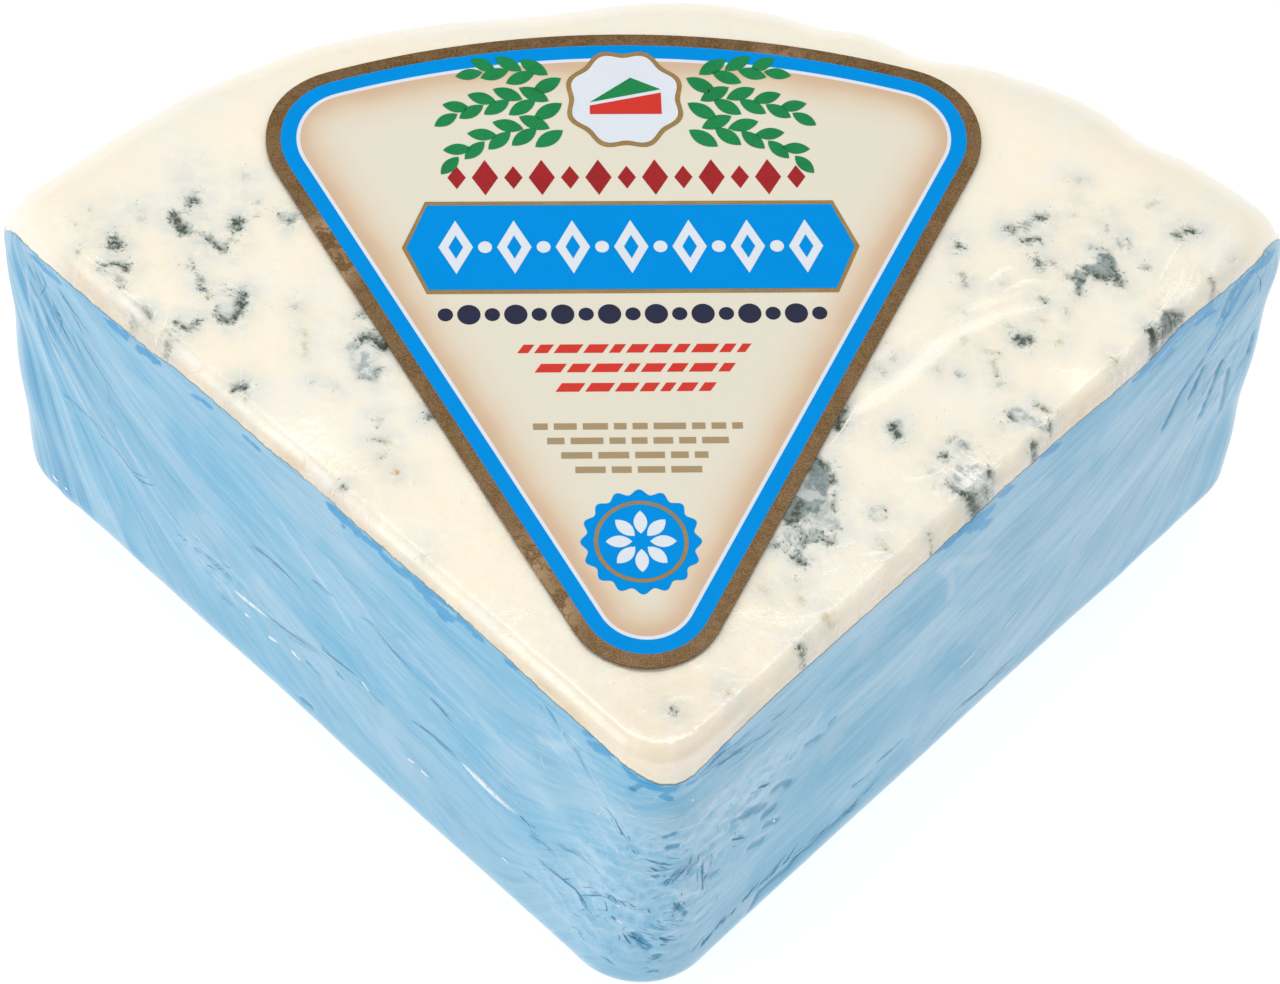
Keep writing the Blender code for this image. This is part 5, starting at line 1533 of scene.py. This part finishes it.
def bar(x, y, width, height, slant=0.0):
    half = width / 2
    return np.array([
        (x - half - slant, y - height / 2), (x + half - slant, y - height / 2),
        (x + half + slant, y + height / 2), (x - half + slant, y + height / 2),
    ])


def banner(grow):
    """A long bar with pointed ends, drawn out by grow."""
    wide, tall = 30.6 + grow * 0.4, 7.6 + grow
    point = wide + 3.2 + grow * 0.6
    return np.add(BANNER_AT, (
        (-wide, -tall), (wide, -tall), (point, 0), (wide, tall), (-wide, tall), (-point, 0)
    ))


def make_print(name, outlines, level, look):
    """Printed shapes of one colour, in millimetres in the label's axes, some steps above the paper."""
    points, faces = [], []
    for outline in outlines:
        first = len(points)
        points += on_label(np.asarray(outline) * MM, PRINT_STEP * level).tolist()
        faces.append(list(range(first, len(points))))
    make_piece(name, points, faces, look, smooth=False)


def sprig(side):
    """Leaves along three curved stems that leave the plaque's side."""
    leaves = []
    stems = ((107.4, -5.2, 18.0, 9), (112.4, -2.0, 18.0, 9), (117.0, 1.4, 14.0, 7))
    for base_y, rise, length, count in stems:
        for step in range(count):
            share = (step + 0.6) / count
            x = PLAQUE_AT[0] + side * (9.6 + share * length)
            y = base_y + rise * share**2 + 1.4 * math.sin(share * math.pi)
            spread = math.radians(34 - 14 * share) * (1 if step % 2 else -1)
            heading = math.atan2(2 * rise * share / length, 1.0) + spread
            turn = heading if side > 0 else math.pi - heading
            leaves.append(leaf(x - side * 1.2, y, turn, 5.4 - 1.2 * share, 2.5 - 0.5 * share))
    return leaves


def dash_row(y, width, height, slant, seed, longest, gap=0.9):
    """A row of short bars of uneven length, centred."""
    draw = np.random.default_rng(seed)
    x, bars = -width / 2, []
    while x < width / 2 - 0.8:
        length = min(draw.uniform(0.35, 1.0) * longest, width / 2 - x)
        bars.append(bar(x + length / 2, y, length, height, slant))
        x += length + gap
    return bars


def banner_shapes(width, height, between=False):
    """Lozenges along the banner, or discs in the gaps between them."""
    shapes = []
    for step in range(-3, 4):
        x = BANNER_AT[0] + step * BANNER_STEP
        shapes.append(lozenge(x, BANNER_AT[1], width, height))
        if between and step < 3:
            shapes.append(disc(BANNER_AT[0] + (step + 0.5) * BANNER_STEP, BANNER_AT[1], 1.05, count=24))
    return shapes


def rosette():
    """Eight leaves round the seal's middle."""
    leaves = []
    for step in range(8):
        turn = step * math.pi / 4
        x, y = SEAL_AT[0] + 1.3 * math.cos(turn), SEAL_AT[1] + 1.3 * math.sin(turn)
        leaves.append(leaf(x, y, turn, 3.9, 2.0))
    return leaves


def make_plates():
    """The gold-edged banner, seal and plaque, and what is printed on them."""
    gold = paper_look("print_gold", srgb(150, 118, 70), mottle=srgb(186, 158, 100))
    blue = paper_look("print_blue", PRINT_BLUE, shine=0.03)
    white = paper_look("print_white", PRINT_WHITE)
    lobed = dict(lobes=8, depth=0.9, count=96, start=math.pi / 8)
    make_print("print_plates", [banner(0.7), disc(*SEAL_AT, 6.9), disc(*PLAQUE_AT, 9.4, **lobed)], 2, gold)
    make_print("print_seal_edge", [disc(*SEAL_AT, 8.9, lobes=16, depth=0.9, count=160)], 1, blue)
    make_print("print_fields", [banner(0.0), disc(*SEAL_AT, 6.3)], 3, blue)
    make_print("print_plaque", [disc(*PLAQUE_AT, 8.6, **lobed)], 3, white)
    make_print("print_pale_shapes", banner_shapes(5.2, 9.6, between=True) + rosette(), 4, white)
    make_print("print_inner_lozenges", banner_shapes(2.2, 4.2), 5, blue)


def make_rows(scarlet):
    """Rows of lozenges, beads and dashes above and below the banner."""
    red = paper_look("print_red", srgb(168, 30, 34), mottle=srgb(112, 18, 22))
    navy = paper_look("print_navy", srgb(34, 38, 66))
    tan = paper_look("print_tan", srgb(170, 148, 112))
    large, small = (4.0, 6.5), (2.8, 4.2)
    lozenges = [lozenge(step * 4.3, 99.0, *(large if step % 2 else small)) for step in range(-6, 7)]
    make_print("print_red_row", lozenges, 1, red)
    beads = [disc(step * 3.5, 74.3, 1.75 if step % 2 else 1.15, count=24) for step in range(-8, 9)]
    make_print("print_navy_row", beads, 1, navy)
    dashes = []
    for y, width, seed in ((68.2, 34.0, 3), (64.8, 29.0, 4), (61.4, 23.0, 5)):
        dashes += dash_row(y, width, height=1.5, slant=0.5, seed=seed, longest=4.0)
    make_print("print_scarlet_rows", dashes, 1, scarlet)
    rules = []
    for step, width in enumerate((31.0, 27.0, 23.0, 19.0)):
        y = 54.6 - 2.5 * step
        rules += dash_row(y, width, height=1.1, slant=0.0, seed=11 + step, longest=5.0)
    make_print("print_tan_rows", rules, 1, tan)


def make_wedge(scarlet, green):
    """The plaque's small wedge: its side and its top."""
    left, right = PLAQUE_AT[0] - 5.4, PLAQUE_AT[0] + 5.6
    side = [(left, 110.6), (right, 110.6), (right, 114.6), (left, 112.2)]
    top = [(left, 112.8), (right, 115.2), (PLAQUE_AT[0] + 1.0, 117.4)]
    make_print("print_wedge_side", [side], 4, scarlet)
    make_print("print_wedge_top", [top], 4, green)


def make_label_print():
    """All that is printed on the label's cream field."""
    green = paper_look("print_green", srgb(20, 138, 74), mottle=srgb(8, 96, 52))
    scarlet = paper_look("print_scarlet", srgb(214, 52, 38))
    make_plates()
    make_print("print_sprigs", sprig(-1) + sprig(1), 2, green)
    make_rows(scarlet)
    make_wedge(scarlet, green)


# ---------------------------------------------------------------- floor, light and camera


def make_floor():
    size, height = 3.0, -0.0002  # just below the base
    mesh = bpy.data.meshes.new("floor")
    corners = [(-size, -size, height), (size, -size, height), (size, size, height), (-size, size, height)]
    mesh.from_pydata(corners, [], [(0, 1, 2, 3)])
    floor = bpy.data.objects.new("floor", mesh)
    bpy.context.scene.collection.objects.link(floor)
    net = Net("floor")
    look = net.principled(
        Base_Color=(0.3, 0.3, 0.3, 1), Roughness=0.9, Specular_IOR_Level=0.0,
        Emission_Color=(1, 1, 1, 1), Emission_Strength=0.85,
    )
    mesh.materials.append(net.finish(look))


def direction(turn, rise):
    """Towards a turn from -Y towards +X and a rise above the horizon, in radians."""
    return Vector((math.sin(turn) * math.cos(rise), -math.cos(turn) * math.cos(rise), math.sin(rise)))


# Soft boxes round the wedge: name, turn and rise in degrees, distance, width, height and power.
LIGHTS = (
    ("left_strip", -62, 24, 0.9, 0.09, 0.80, 2.0),
    ("right_strip", 58, 24, 0.9, 0.09, 0.80, 0.25),
    ("overhead_box", 180, 80, 1.0, 0.60, 0.16, 3.3),
    ("rear_left_strip", -140, 50, 1.0, 0.08, 0.50, 0.4),
    ("rear_right_strip", 140, 50, 1.0, 0.08, 0.50, 0.4),
)
LIT_PLACE = Vector((0, 0, 0.04))


def make_light(name, turn, rise, distance, width, height, power):
    """A soft box that faces the wedge."""
    away = direction(math.radians(turn), math.radians(rise))
    lamp = bpy.data.lights.new(name, "AREA")
    lamp.shape = "RECTANGLE"
    lamp.size = width
    lamp.size_y = height
    lamp.energy = power
    made = bpy.data.objects.new(name, lamp)
    made.location = LIT_PLACE + away * distance
    made.rotation_euler = away.to_track_quat("Z", "Y").to_euler()
    bpy.context.scene.collection.objects.link(made)


def make_world(strength):
    world = bpy.data.worlds.new("studio")
    world.use_nodes = True
    world.node_tree.nodes["Background"].inputs["Color"].default_value = (1, 1, 1, 1)
    world.node_tree.nodes["Background"].inputs["Strength"].default_value = strength
    bpy.context.scene.world = world


def make_camera():
    back = direction(CAMERA_TURN, CAMERA_RISE)
    level = Vector((math.cos(CAMERA_TURN), math.sin(CAMERA_TURN), 0))
    upright = back.cross(level)
    right = level * math.cos(CAMERA_ROLL) + upright * math.sin(CAMERA_ROLL)
    up = upright * math.cos(CAMERA_ROLL) - level * math.sin(CAMERA_ROLL)
    lens = bpy.data.cameras.new("camera")
    lens.sensor_width = SENSOR_WIDTH
    lens.lens = FOCAL_LENGTH_IN_PIXELS / PHOTO_WIDTH_IN_PIXELS * SENSOR_WIDTH
    camera = bpy.data.objects.new("camera", lens)
    turned = Matrix((right, up, back)).transposed().to_4x4()
    camera.matrix_world = Matrix.Translation(CAMERA_TARGET + back * CAMERA_DISTANCE) @ turned
    bpy.context.scene.collection.objects.link(camera)
    bpy.context.scene.camera = camera


make_camera()
make_floor()
make_world(strength=0.52)
for light in LIGHTS:
    make_light(*light)
make_cheese()
make_blue_film()
make_blue_folds()
make_clear_film()
make_clear_folds()
make_label()
make_label_print()

bpy.context.scene.view_settings.view_transform = "Standard"
